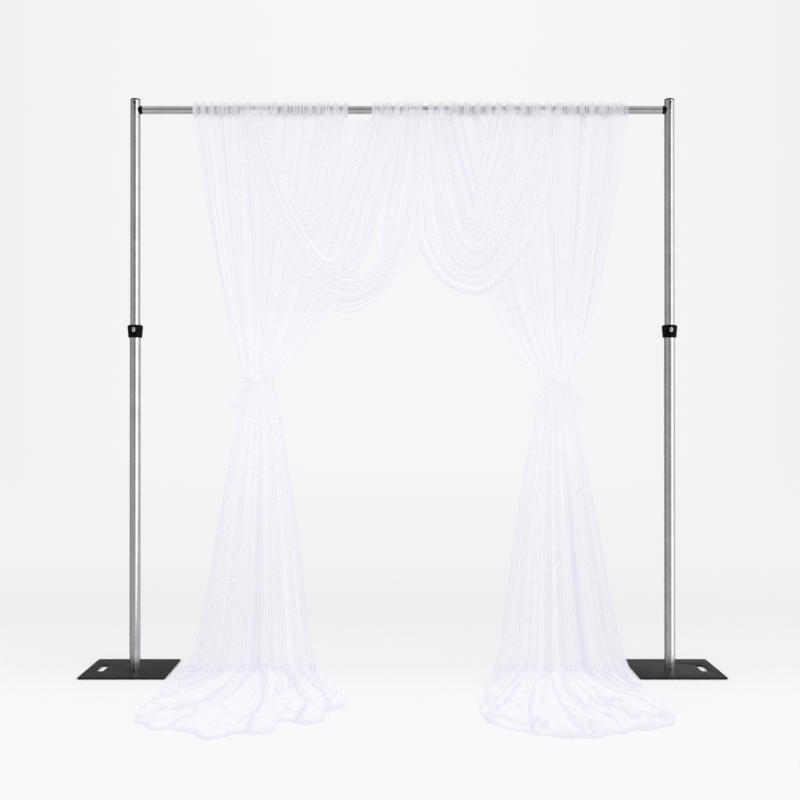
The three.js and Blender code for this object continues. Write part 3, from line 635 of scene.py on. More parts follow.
@dataclass
class Mast:
    """One telescopic mast with its rivets, keyhole head and cap.

    Attributes:
        side: Which end of the stand it is.
        lower_wall: Wall of the lower tube.
        upper_wall: Wall of the upper tube.
        head_wall: Wall of the head, and of the cap's plug.
        plug_wall: Wall of the head's shank, which goes into the upper tube.
        keyhole_rise: From the bar's axis to the centre of a keyhole's round top.
        keyhole_radius: Radius of the round top.
        keyslot_width: Width of the slot under it.
        keyslot_below: From the bar's axis down to the slot's foot.
        pin_drop: From the bar's axis down to the pin hole.
        pin_radius: Its radius.
        shank: Radius of the foot rivets' shanks.
        rivet_rise: Height of their domes.
    """

    side: Side
    lower_wall: float = 0.0016
    upper_wall: float = 0.0015
    head_wall: float = 0.0055
    plug_wall: float = 0.0034
    keyhole_rise: float = 0.034
    keyhole_radius: float = 0.006
    keyslot_width: float = 0.0068
    keyslot_below: float = 0.004
    pin_drop: float = 0.020
    pin_radius: float = 0.003
    shank: float = 0.0024
    rivet_rise: float = 0.0016

    @property
    def axis(self) -> Vector:
        """The foot of the mast's axis."""
        low, high = self.side.box("upper_tube")
        return Vector(((low.x + high.x) / 2, (low.y + high.y) / 2, 0.0))

    def build(self) -> None:
        """Builds the tubes, rivets, head and cap."""
        side = self.side
        base, mast = side.of("base"), side.of("mast")
        for part, wall, body in (("lower_tube", self.lower_wall, base), ("upper_tube", self.upper_wall, mast)):
            dress(self.tube(part, wall), ALUMINIUM_UPRIGHT, body, side.of(part))
        for place in ("inner", "outer"):
            node = side.of(f"foot_rivet_{place}")
            dress(self.rivet(node), ZINC, base, node)
        dress(self.head(), ALUMINIUM_UPRIGHT, mast, side.of("mast_head"))
        dress(self.cap(), ABS, mast, side.of("mast_cap"))
        refinish(side.of("foot_sleeve"), NYLON)
        refinish(side.of("guide_plug"), NYLON)

    def tube(self, part: str, wall: float) -> Piece:
        """One of the two telescoping tubes.

        Args:
            part: The tube's CAD node, without its side.
            wall: Its wall thickness.

        Returns:
            The tube, in its place.
        """
        low, high = self.side.box(part)
        made = pipe(self.side.of(f"{part}_drawn"), (high.x - low.x) / 2, wall, high.z - low.z)
        return soften(moved(made, self.axis + Vector((0, 0, low.z))))

    def rivet(self, node: str) -> Piece:
        """A dome-headed rivet through the lower tube's wall into the sleeve.

        Args:
            node: The CAD node that it stands for.

        Returns:
            The rivet, in its place.
        """
        low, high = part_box(node)
        outward = 1 if (low.x + high.x) / 2 > self.axis.x else -1
        head, under = (high.z - low.z) / 2, high.x - low.x - self.rivet_rise
        outline = [(0.0, 0.0), (self.shank, 0.0), (self.shank, under), *arch(head, 0.0, under, self.rivet_rise, 8)]
        start = low.x if outward > 0 else high.x
        place = (start, self.axis.y, (low.z + high.z) / 2)
        return soften(moved(turned(f"{node}_domed", outline, 32), place, (0, outward * QUARTER, 0)))

    def head(self) -> Piece:
        """The slotted head, with a keyhole on each of its four sides.

        Returns:
            The head, in its place.
        """
        low, high = self.side.box("mast_head")
        radius = (high.x - low.x) / 2
        seam = self.side.box("upper_tube")[1].z + CLEAR
        inner, shank = radius - self.head_wall, radius - self.upper_wall - CLEAR
        edge = 2 * CLEAR
        piece = moved(turned(self.side.of("head_cast"), [
            (shank - self.plug_wall, low.z), (shank, low.z), (shank, seam), (radius - edge, seam),
            (radius, seam + edge), (radius, high.z - edge), (radius - edge, high.z), (inner, high.z), (inner, seam),
            (shank - self.plug_wall, low.z),
        ], 96), self.axis)
        bottom, top = BAR_HEIGHT - self.keyslot_below + self.keyslot_width / 2, BAR_HEIGHT + self.keyhole_rise
        pin_height = BAR_HEIGHT - self.pin_drop
        holes = (self.keyhole_radius, top), (self.pin_radius, pin_height), (self.keyslot_width / 2, bottom)
        reach = 1.4 * radius
        tools = []
        for turn in (index * QUARTER for index in range(4)):
            for hole, height in holes:
                tools.append(rod_tool(hole, reach, self.axis + Vector((0, 0, height)), (0.0, QUARTER, turn)))
            deselect()
            bpy.ops.mesh.primitive_cube_add(size=1, location=(reach / 2, 0, (bottom + top) / 2))
            mill = bpy.context.object
            mill.scale = (reach, self.keyslot_width, top - bottom)
            tools.append(moved(settle(mill, "mill"), self.axis, (0, 0, turn)))
        return soften(carve(piece, tools))

    def cap(self) -> Piece:
        """The domed cap with its rim and plug.

        Returns:
            The cap, in its place.
        """
        low, high = self.side.box("mast_cap")
        radius = (high.x - low.x) / 2
        under = self.side.box("mast_head")[1].z + CLEAR
        rim, plug, edge = under + 0.003, radius - self.head_wall - CLEAR, 0.0005
        hollow = plug - 0.0025
        outline = [
            (0.0, under), (hollow, under), (hollow, low.z), (plug, low.z), (plug, under), (radius - edge, under),
            (radius, under + edge), *arch(radius, 0.0, rim, high.z - rim, 14),
        ]
        return soften(moved(turned(self.side.of("cap_moulded"), outline, 72), self.axis))


@dataclass
class Lock:
    """One locking collar with its push button, latch ring and leaf spring.

    Attributes:
        side: Which mast it locks.
        foot_radius: Radius at the collar's foot.
        foot_round: Radius of the foot's edge.
        flare_drop: From the top face down to the widest place.
        round_top: Radius of the shoulder.
        chamber: Radius of the room for the latch ring.
        bore_room: Between the collar and the upper tube.
        button_size: The button's width and height.
        button_rim: Radius of its rolled rim.
        button_middle: Height of its middle.
        window_room: How much wider and higher its window is.
        window: How far in front of the mast's axis the window's cut ends and starts.
    """

    side: Side
    foot_radius: float = 0.033
    foot_round: float = 0.002
    flare_drop: float = 0.014
    round_top: float = 0.009
    chamber: float = 0.032
    bore_room: float = 0.0006
    button_size: tuple[float, float] = (0.014, 0.023)
    button_rim: float = 0.0013
    button_middle: float = 1.630
    window_room: float = 0.0008
    window: tuple[float, float] = (0.025, 0.060)

    def build(self) -> None:
        """Builds the collar and the button, and dresses the ring and the spring."""
        side = self.side
        dress(self.collar(), ABS, side.of("base"), side.of("collar"))
        dress(self.button(), CHROME, side.of("lock"), side.of("lock_button"))
        refinish(side.of("latch_ring"), ZINC)
        refinish(side.of("lock_spring"), ZINC)

    def collar(self) -> Piece:
        """The collar: narrow at its foot, widest under its round shoulder, with a window for the button.

        Returns:
            The collar, in its place.
        """
        low, high = self.side.box("collar")
        wide, flare = (high.x - low.x) / 2, high.z - self.flare_drop
        axis = Mast(self.side).axis
        lower, upper, ring = (self.side.box(part) for part in ("lower_tube", "upper_tube", "latch_ring"))
        bore = (lower[1].x - lower[0].x) / 2 + CLEAR
        throat = (upper[1].x - upper[0].x) / 2 + self.bore_room
        seat, roof, floor = lower[1].z + CLEAR, ring[1].z + CLEAR, ring[0].z - CLEAR
        neck = self.foot_radius - self.foot_round
        foot = [(neck + self.foot_round * math.sin(a), low.z + self.foot_round * (1 - math.cos(a)))
                for a in np.linspace(0, QUARTER, 5)]
        start = foot[-1][1]
        body = [(self.foot_radius + (wide - self.foot_radius) * t**1.2, start + (flare - start) * t)
                for t in np.linspace(0.12, 0.92, 6)]
        top = self.round_top
        shoulder = arch(top, wide - top, high.z - top, top, 8)
        outline = [
            (bore, low.z), *foot, *body, (wide, flare), *shoulder, (throat, high.z), (throat, roof),
            (self.chamber, roof), (self.chamber, floor), (throat, floor), (throat, seat), (bore, seat), (bore, low.z),
        ]
        piece = moved(turned(self.side.of("collar_moulded"), outline, 96), axis)
        near, far = self.window
        window = self.oval("window", *(length + self.window_room for length in self.button_size), far - near)
        moved(window, axis + Vector((0, -(near + far) / 2, self.button_middle)), (QUARTER, 0, 0))
        return soften(carve(piece, [window]), 40)

    def oval(self, name: str, width: float, height: float, depth: float) -> Piece:
        """An upright oval block, with straight sides, that points along Z.

        Args:
            name: The block's name.
            width: Its width along X.
            height: Its height along Y.
            depth: Its depth along Z.

        Returns:
            The block, at the origin.
        """
        deselect()
        bpy.ops.mesh.primitive_cylinder_add(vertices=50, radius=width / 2, depth=depth)
        piece = bpy.context.object
        for way in (-1, 1):
            choose(piece, "VERT", [way * vertex.co.y > 0 for vertex in piece.data.vertices])
            bpy.ops.transform.translate(value=(0, way * (height - width) / 2, 0))
            bpy.ops.object.mode_set(mode="OBJECT")
        return settle(piece, name)

    def button(self) -> Piece:
        """The chromed oval button, with a rolled rim.

        Returns:
            The button, in its place.
        """
        low, high = self.side.box("lock_button")
        piece = self.oval(self.side.of("button_chromed"), *self.button_size, high.y - low.y)
        choose(piece, "FACE", [face.normal.z > 0.9 for face in piece.data.polygons])
        bpy.ops.mesh.bevel(offset=self.button_rim, segments=5, affect="EDGES")
        bpy.ops.object.mode_set(mode="OBJECT")
        middle = (Mast(self.side).axis.x, (low.y + high.y) / 2, self.button_middle)
        return soften(moved(piece, middle, (QUARTER, 0, 0)), 50)


@dataclass
class Crossbar:
    """The telescopic bar: two outer tubes over one inner tube, with a hook and a rivet at each end.

    Attributes:
        wall: Wall of the outer tubes.
        inner_wall: Wall of the inner tube.
        end_gap: How much a tube is shorter at each end, so that the two outer ones can meet.
        stud_neck: Radius of the stud that goes through the keyslot.
        stud_head: Radius of its head.
        stud_head_long: Length of its head.
        stud_edge: How much its edges are broken.
        cope: Radius of the hook's end, which hugs the mast.
        rivet_head: Radius of a rivet's head.
        rivet_shank: Radius of its shank.
        rivet_rise: Height of its dome.
        rivet_lift: How far a rivet sits above the bar's middle, round the bar.
    """

    wall: float = 0.0015
    inner_wall: float = 0.0016
    end_gap: float = CLEAR
    stud_neck: float = 0.003
    stud_head: float = 0.0052
    stud_head_long: float = 0.003
    stud_edge: float = 0.0005
    cope: float = 0.0238
    rivet_head: float = 0.0028
    rivet_shank: float = 0.0018
    rivet_rise: float = 0.0009
    rivet_lift: float = math.radians(14)

    def build(self) -> None:
        """Builds the tubes, hooks and rivets."""
        for side, body in ((Side.LEFT, "crossbar"), (Side.RIGHT, "crossbar_right")):
            node = side.of("bar_tube")
            dress(self.tube(node, self.wall), ALUMINIUM_BAR, body, node)
            dress(self.hook(side), ABS, body, side.of("hook"))
            dress(self.rivet(side), ZINC, body, side.of("bar_rivet"))
        node = "inner_bar_tube"
        dress(self.tube(node, self.inner_wall), ALUMINIUM_BAR, "crossbar_right", node)

    def tube(self, node: str, wall: float) -> Piece:
        """One tube of the bar, with its cut ends broken.

        Args:
            node: The CAD node that it stands for.
            wall: Its wall thickness.

        Returns:
            The tube, in its place.
        """
        low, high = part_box(node)
        made = pipe(f"{node}_drawn", (high.z - low.z) / 2, wall, high.x - low.x - 2 * self.end_gap)
        return soften(moved(made, (low.x + self.end_gap, MAST_PLANE, BAR_HEIGHT), (0, QUARTER, 0)))

    def hook(self, side: Side) -> Piece:
        """The end hook: a plug in the bar, a collar coped to the mast, and a headed stud.

        Args:
            side: Which end of the bar it is on.

        Returns:
            The hook, in its place.
        """
        corners, bar = side.box("hook"), side.box("bar_tube")
        inside, tip = sorted(abs(corner.x) for corner in corners)
        end = max(abs(corner.x) for corner in bar) + CLEAR
        mast = Mast(side).axis
        far, radius, edge = abs(mast.x), (bar[1].z - bar[0].z) / 2, 2 * CLEAR
        plug, hollow, bottom = radius - self.wall - CLEAR, 0.012, inside + 0.048
        place, turn = (0, MAST_PLANE, BAR_HEIGHT), (0, side.value * QUARTER, 0)
        body = moved(turned(side.of("hook_moulded"), [
            (0.0, bottom), (hollow, bottom), (hollow, inside), (plug, inside), (plug, end), (radius - edge, end),
            (radius, end + edge), (radius, far), (0.0, far),
        ], 72), place, turn)
        long = 0.2
        carve(body, [rod_tool(self.cope, long, Vector((mast.x, mast.y, BAR_HEIGHT - long / 2)), (0, 0, 0))])
        root, head = far - self.cope - 0.004, tip - self.stud_head_long
        face = self.stud_head - self.stud_edge
        stud = moved(turned("stud", [
            (0.0, root), (self.stud_neck, root), (self.stud_neck, head), (face, head),
            (self.stud_head, head + self.stud_edge), (self.stud_head, tip - self.stud_edge), (face, tip), (0.0, tip),
        ], 36), place, turn)
        pick(body)
        stud.select_set(True)
        bpy.ops.object.join()
        return soften(body)

    def rivet(self, side: Side) -> Piece:
        """The small domed rivet that holds the hook, in front and a little above the bar's middle.

        Args:
            side: Which end of the bar it is on.

        Returns:
            The rivet, in its place.
        """
        low, high = side.box("bar_rivet")
        bar_low, bar_high = side.box("bar_tube")
        surface = (bar_high.z - bar_low.z) / 2 + CLEAR
        root = surface - 0.006
        outline = [
            (0.0, root), (self.rivet_shank, root), (self.rivet_shank, surface),
            *arch(self.rivet_head, 0.0, surface, self.rivet_rise, 7),
        ]
        piece = turned(side.of("bar_rivet_domed"), outline, 28)
        place = ((low.x + high.x) / 2, MAST_PLANE, BAR_HEIGHT)
        return soften(moved(piece, place, (QUARTER - self.rivet_lift, 0, 0)))


# ---------------------------------------------------------------- drapery


def smooth(value: Grid, low: float, high: float) -> Grid:
    """Rises from 0 at low to 1 at high, level at both ends."""
    share = np.clip((value - low) / (high - low), 0, 1)
    return share * share * (3 - 2 * share)


def mix(a: Grid, b: Grid, share: Grid) -> Grid:
    """A value from a to b by a share."""
    return a + (b - a) * share


def points_at(x: Grid, y: Grid, z: Grid) -> Grid:
    """Points from their coordinates, which are spread over one grid."""
    return np.stack(np.broadcast_arrays(x, y, z), -1)


def hump(value: Grid, width: Grid | float) -> Grid:
    """Falls from 1 where a value is 0, in a bell of a half width."""
    return np.exp(-((value / width) ** 2))


def noise(x: Grid, y: Grid, seed: int) -> Grid:
    """Smooth noise between -1 and 1 with features about one unit wide, the same each run.

    Args:
        x: Places along the first direction.
        y: Places along the second.
        seed: Picks the pattern.

    Returns:
        The noise at each place.
    """
    size = 128
    grid = np.random.default_rng(seed).uniform(-1, 1, (size, size))
    x, y = np.broadcast_arrays(np.asarray(x, float) + 31.7, np.asarray(y, float) + 17.3)
    ix, iy = np.floor(x).astype(int), np.floor(y).astype(int)
    fx, fy = smooth(x - ix, 0, 1), smooth(y - iy, 0, 1)
    near, far = (
        mix(grid[ix % size, (iy + step) % size], grid[(ix + 1) % size, (iy + step) % size], fx) for step in (0, 1)
    )
    return mix(near, far, fy)


def ribs(u: Grid, v: Grid, turns: tuple[float, float], seed: int, lean: float = 0.15) -> Grid:
    """Uneven pleats across u that run on along v with a slight lean, about between -1 and 1.

    Args:
        u: Places across the cloth.
        v: Places along it.
        turns: Fewest and most pleats across; whole numbers close a ring.
        seed: Picks the pleats.
        lean: How far a pleat may lean along v, in pleats.

    Returns:
        The height at each place.
    """
    chance = np.random.default_rng(seed)
    total = 0.0
    for _ in range(8):
        count = chance.uniform(*turns)
        count = round(count) if all(isinstance(turn, int) for turn in turns) else count
        start, slant, weight = chance.uniform(0, TURN), chance.uniform(-lean, lean), chance.uniform(0.5, 1.0)
        total = total + weight * np.sin(TURN * (count * u + slant * v) + start)
    return total / 2.6


def lines(height: Grid, width: float, across: Grid) -> Grid:
    """Thin lines where a pattern of ribs goes through its mid height.

    Args:
        height: The pattern.
        width: Half width of a line.
        across: Places across the lines, as one row or one column.

    Returns:
        1 at the middle of a line, falling to 0 beside it.
    """
    axis = 0 if across.shape[0] > 1 else 1
    slope = np.abs(np.gradient(height, across.reshape(-1), axis=axis))
    return hump(height, np.maximum(width * slope, 1e-4))


def reaches(points: Grid) -> Grid:
    """How far along a run of points each one lies, from 0 to 1."""
    reach = np.r_[0, np.cumsum(np.linalg.norm(np.diff(points, axis=0), axis=1))]
    return reach / reach[-1]


def spline(points: Grid, t: Grid) -> Grid:
    """A smooth curve through points, at places from 0 to 1 by length.

    Args:
        points: One point a row.
        t: Where along the curve.

    Returns:
        A point for each place.
    """
    points = np.asarray(points, float)
    reach = reaches(points)
    slopes = np.gradient(points, reach, axis=0)
    index = np.clip(np.searchsorted(reach, t, side="right") - 1, 0, len(points) - 2)
    step = (reach[index + 1] - reach[index])[:, None]
    s = ((t - reach[index])[:, None]) / step
    a, b, ma, mb = points[index], points[index + 1], slopes[index] * step, slopes[index + 1] * step
    return (
        (2 * s**3 - 3 * s**2 + 1) * a + (s**3 - 2 * s**2 + s) * ma
        + (3 * s**2 - 2 * s**3) * b + (s**3 - s**2) * mb
    )


@dataclass
class Weave:
    """A grid of points with how many layers of net each drawn layer stands for.

    Attributes:
        points: Rows by columns by three.
        layers: Layers of net, one number or one for each point.
        closed: Whether the last column joins the first.
        crease: How deep in a fold each point lies, from 0 to 1, which the material paints as shade.
        cast: Layers of net that a shadow or a bounce of light meets, less than the real ones, because the
            threads pass light on from one to the next.
    """

    points: Grid
    layers: Grid | float = 1.0
    closed: bool = False
    crease: Grid | float = 0.0
    cast: float = 0.10

    @property
    def gather(self) -> Grid:
        """Layers of net that a look from the front, and a little from above, goes through at each point.

        Returns:
            The layers at each point.
        """
        across = np.gradient(self.points, axis=1)
        along = np.gradient(self.points, axis=0)
        if self.closed:
            across = (np.roll(self.points, -1, 1) - np.roll(self.points, 1, 1)) / 2
        normal = np.cross(across, along)
        facing = np.abs(0.975 * normal[..., 1] - 0.222 * normal[..., 2])
        facing = facing / np.maximum(np.linalg.norm(normal, axis=-1), 1e-12)
        return self.layers / np.maximum(facing, 0.28)


def cloth(name: str, weaves: Sequence[Weave], cut: tuple[float, float], lengthwise: bool = True) -> Piece:
    """Makes one sheet of cloth from grids of points.

    Args:
        name: The piece's name.
        weaves: The grids that make it up.
        cut: Width and length of the flat cloth, for the thread pattern.
        lengthwise: Whether the grids' rows follow one another along the cloth.

    Returns:
        The smooth-shaded sheet, with a UV map in metres of cloth and its gather, crease and cast attributes.
    """
    positions, faces, uvs = [], [], []
    values: dict[str, list[Grid]] = {"gather": [], "crease": [], "cast": []}
    start = 0
    for weave in weaves:
        rows, columns = weave.points.shape[:2]
        positions.append(weave.points.reshape(-1, 3))
        for key, value in (("gather", weave.gather), ("crease", weave.crease), ("cast", weave.cast)):
            values[key].append(np.broadcast_to(value, (rows, columns)).reshape(-1))
        down, over = (cut[1], cut[0]) if lengthwise else cut
        v, u = np.meshgrid(np.linspace(0, down, rows), np.linspace(0, over, columns), indexing="ij")
        if not lengthwise:
            u, v = v, u
        uvs.append(np.stack([u, v], -1).reshape(-1, 2))
        index = start + np.arange(rows * columns).reshape(rows, columns)
        quads = np.stack([index[:-1, :-1], index[1:, :-1], index[1:, 1:], index[:-1, 1:]], -1)
        faces.append(quads.reshape(-1, 4))
        if weave.closed:
            seam = np.stack([index[:-1, -1], index[1:, -1], index[1:, 0], index[:-1, 0]], -1)
            faces.append(seam.reshape(-1, 4))
        start += rows * columns
    points, quads = np.concatenate(positions), np.concatenate(faces)
    mesh = bpy.data.meshes.new(name)
    mesh.from_pydata(points.tolist(), [], quads.tolist())
    layer = mesh.uv_layers.new(name="cloth")
    layer.data.foreach_set("uv", np.concatenate(uvs)[quads.reshape(-1)].astype(np.float32).reshape(-1))
    for key, parts in values.items():
        mesh.attributes.new(key, "FLOAT", "POINT").data.foreach_set("value", np.concatenate(parts).astype(np.float32))
    mesh.polygons.foreach_set("use_smooth", [True] * len(mesh.polygons))
    mesh.update()
    piece = bpy.data.objects.new(name, mesh)
    bpy.context.scene.collection.objects.link(piece)
    return piece


@dataclass
class Curtain:
    """One side's drapery: panel, swag, sash, skirt and pool.

    Attributes:
        side: Which side it hangs on.
        top: X of the panel's two ends on the rod.
        waist: X of the waist's middle, and its width.
        share: Power of the panel's spread from the waist: 1 is straight, less is bellied.
        breaks: Bare stretch of bar inside the pocket.
        hem: X of the skirt's two edges where it meets its pool.
        outline: The pool's edge on the floor, as x and distance behind the masts.
        front_points: How many of the outline's points, from its first, lie before the skirt.
        crumple: How crumpled the pool is, as heights of its radial ridges and its lumps.
        sweep: How far its folds swing round on their way out, in turns.
        bands: The swag's bands, each an outer and an inner loop.
        tails: Which sides the sash's tails fall to.
        slits: Deep folds of the skirt, recessed and painted in shade, each a place across it, a half width and a
            depth.
        sheer: Thin stretches of the skirt, each a place across it, a half width and the share left out.
        seed: Picks the folds.
        fullness: How deep the panel's pleats are.
        cut_width: Width of the flat curtain.
        swag_cut: Width and length of the flat swag.
        sash_cut: Width and length of the flat sash. Not used.
        pool_cut: Width and length of the flat cloth in the pool. Not used.
        columns: Points across one sheet of the curtain.
        tie: From the sash's middle to where the panel and the skirt begin.
        skirt_share: Power of the skirt's spread.
        skirt_depth: Between its front and back sheet at the floor.
        skirt_forward: How far forwards it is drawn at the floor.
        foot: Share of the skirt's height at which the pool takes up its folds.
        hem_height: Height of its hem, inside the pool.
        pocket: Rod pocket and ruffle in section, as distance behind the bar's axis and height over it.
        ruffle: First and last row of the ruffle in that.
        sash_half: Half the sash's depth from front to back, and half its height.
        knot_half: Half the knot's width, depth and height.
        tail_reach: How far a tail falls to its side, forwards and down.
        tail_width: A tail's width at the knot and at its end.
        swag_forward: How far before the masts the inmost band hangs at the bar and in its loop, and the step
            from one band's loop to the next.
        heap: The pool's least, middling and greatest height.
    """

    side: Side
    top: tuple[float, float]
    waist: tuple[float, float]
    share: float
    breaks: tuple[float, float] | None
    hem: tuple[float, float]
    outline: list[tuple[float, float]]
    front_points: int
    crumple: tuple[float, float]
    sweep: float
    bands: list[tuple[Pairs, Pairs]]
    tails: tuple[int, ...]
    slits: tuple[tuple[float, float, float], ...]
    sheer: tuple[tuple[float, float, float], ...]
    seed: int
    fullness: float = 1.0
    cut_width: float = 1.5
    swag_cut: tuple[float, float] = (0.6, 1.6)
    sash_cut: tuple[float, float] = (0.1, 0.5)
    pool_cut: tuple[float, float] = (1.5, 0.58)
    columns: int = 520
    tie: float = 0.020
    skirt_share: float = 0.78
    skirt_depth: float = 0.10
    skirt_forward: float = 0.330
    foot: float = 0.957
    hem_height: float = 0.032
    pocket: Pairs = (
        (0.004, -0.033), (0.017, -0.017), (0.0226, 0.0), (0.017, 0.017), (0.003, 0.0245), (0.0022, 0.030),
        (0.0015, 0.0362), (-0.0015, 0.0364), (-0.0022, 0.030), (-0.003, 0.0245), (-0.017, 0.017), (-0.0226, 0.0),
        (-0.017, -0.017), (-0.004, -0.033),
    )
    ruffle: tuple[int, int] = (4, 9)
    sash_half: tuple[float, float] = (0.042, 0.0175)
    knot_half: tuple[float, float, float] = (0.021, 0.014, 0.019)
    tail_reach: tuple[float, float, float] = (0.100, 0.030, 0.150)
    tail_width: tuple[float, float] = (0.016, 0.080)
    swag_forward: tuple[float, float, float] = (0.034, 0.056, 0.014)
    heap: tuple[float, float, float] = (0.0015, 0.024, 0.094)

    def build(self) -> None:
        """Builds and dresses all five pieces of cloth."""
        side = self.side
        panel = dress(self.panel(), TULLE, "crossbar", side.of("panel"))
        swag = dress(self.swag(), TULLE, "crossbar", side.of("swag"))
        sash = dress(self.sash(), TULLE, "crossbar", side.of("sash"))
        skirt = dress(self.skirt(), TULLE, "crossbar", side.of("skirt"))
        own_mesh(skirt)
        pool = dress(self.pool(), TULLE, "left_base", side.of("pool"))

    def spread(self, u: Grid, s: Grid, far: tuple[float, float], share: float) -> Grid:
        """X at u across the cloth and at a share s of the way from the waist to the far end."""
        near = self.waist[0] + self.waist[1] * (u - 0.5)
        return mix(near, mix(far[0], far[1], u), np.clip(s, 0, 1) ** share)

    def folds(self, u: Grid, s: Grid, depths: tuple[float, float, float, float]) -> Grid:
        """Depth of the cloth's folds: broad ones, and pleats that come and go across it.

        Args:
            u: Places across the cloth.
            s: Share of the way from the waist to the far end.
            depths: Half depth of the broad folds at the waist and far end, then of the pleats likewise.

        Returns:
            The depth at each place.
        """
        broad_near, broad_far, fine_near, fine_far = depths
        rounded = mix(np.sqrt(np.clip(1 - (2 * u - 1) ** 2, 0, 1)), 1.0, smooth(s, 0, 0.25))
        broad = mix(broad_near, broad_far, smooth(s, 0, 0.6)) * ribs(u, s, (3.0, 9.5), self.seed)
        swell = np.clip(1.0 + 0.75 * ribs(u, s, (2.0, 7.0), self.seed + 1, 0.3), 0.15, 2.0)
        fine = mix(fine_near, fine_far, smooth(s, 0, 0.5)) * swell * ribs(u, s, (15.0, 30.0), self.seed + 2, 0.5)
        return (broad + fine) * rounded

    def layering(self, u: Grid, s: Grid, x: Grid, order: int) -> Grid:
        """Layers of net at each place: more where the cloth is drawn together, in streaks along it.

        Args:
            u: Places across the cloth.
            s: Share of the way from the waist to the far end.
            x: Where those places are, or only the first and the last of each row.
            order: Picks the streaks.

        Returns:
            The layers.
        """
        drawn = np.clip(0.60 * self.cut_width / np.abs(x[:, -1:] - x[:, :1]), 0.8, 3.6)
        broad = ribs(u, s, (2.0, 9.0), self.seed + order, 0.3)
        narrow = ribs(u, s, (11.0, 27.0), self.seed + order + 50, 0.5)
        return drawn * np.clip(1.0 + 0.52 * broad + 0.26 * narrow, 0.25, 2.2)

    def creases(self, u: Grid, s: Grid, order: int, depths: tuple[float, float], start: float) -> Grid:
        """Thin lines of painted shade along the cloth's folds and down its two edges.

        Args:
            u: Places across the cloth.
            s: Share of the way from the waist to the far end.
            order: Picks the lines.
            depths: How dark the lines are, then the edges.
            start: Where along the cloth the lines have come in.

        Returns:
            How deep in a fold each place lies.
        """
        along = lines(ribs(u, s, (2.0, 8.0), self.seed + order, 0.3), 0.0055, u) * smooth(s, 0.03, start)
        return np.maximum(depths[0] * along, depths[1] * hump(np.minimum(u, 1 - u), 0.006))

    def panel(self) -> Piece:
        """The curtain from its ruffle and rod pocket down to the sash.

        Returns:
            The panel.
        """
        u, s = np.linspace(0, 1, self.columns)[None], np.linspace(1, 0, 110)[:, None]
        neck, hang = SASH_HEIGHT + self.tie, BAR_HEIGHT + self.pocket[0][1]
        x = self.spread(u, s, self.top, self.share)
        depth = self.folds(u, s, (0.010, 0.015, 0.0015, 0.0125 * self.fullness))
        ripple = ribs(u[0], 0, (15.0, 30.0), self.seed + 2, 0.5)
        bunch = ribs(u[0], 0, (40.0, 90.0), self.seed + 3)
        rows = []
        for out, up in self.pocket:
            frill = smooth(up, 0.024, 0.036)
            hug = math.copysign(1 - frill, out) * (0.0016 + 0.0014 * (ripple + bunch))
            sway = 0.007 * bunch * frill + depth[0] * smooth(-up, 0.02, 0.033)
            row_y, row_z = out + hug + sway, up * (1 + frill * (0.10 * bunch + 0.08 * ripple))
            rows.append(points_at(x[0] + 0.003 * ripple * frill, MAST_PLANE + row_y, BAR_HEIGHT + row_z))
        points = np.concatenate([rows, points_at(x, MAST_PLANE + depth, neck + (hang - neck) * s)[1:]])
        seams, (first, last) = len(rows) - 1, self.ruffle
        fill = np.concatenate([np.ones((seams, self.columns)), self.layering(u, s, x, 4)])
        fill *= mix(2.0, 1.0, smooth(np.concatenate([np.ones((seams, 1)), s]), 0.0, 0.3))
        fill[: seams + 1] *= np.clip(1.9 + 1.6 * (ripple + 0.7 * bunch), 0.4, 5.0)
        fill[first : last + 1] *= 0.3
        fill[last + 1 : seams + 1] *= 1.6
        # painted shade along the panel's folds and down its two edges
        crease = np.concatenate([np.zeros((seams, self.columns)), self.creases(u, s, 5, (0.6, 0.7), 0.25)])
        return cloth(self.side.of("panel_net"), self.split(points, fill + crease, crease), (self.cut_width, 1.4))

    def split(self, points: Grid, fill: Grid, crease: Grid) -> list[Weave]:
        """Leaves out the pocket where the bar is bare, and keeps the hanging cloth below it whole.

        Args:
            points: The whole panel's points.
            fill: Its layers of net.
            crease: Its creases.

        Returns:
            The stretches of pocket on either side of the bare bar, and the cloth below them.
        """
        if not self.breaks:
            return [Weave(points, fill, crease=crease)]
        x, rows = points[0, :, 0], len(self.pocket)
        bare = np.flatnonzero((x > self.breaks[0]) & (x < self.breaks[1]))
        parts = np.s_[: rows + 1, : bare[0]], np.s_[: rows + 1, bare[-1] :], np.s_[rows:, :]
        return [Weave(points[part], fill[part], crease=crease[part]) for part in parts]

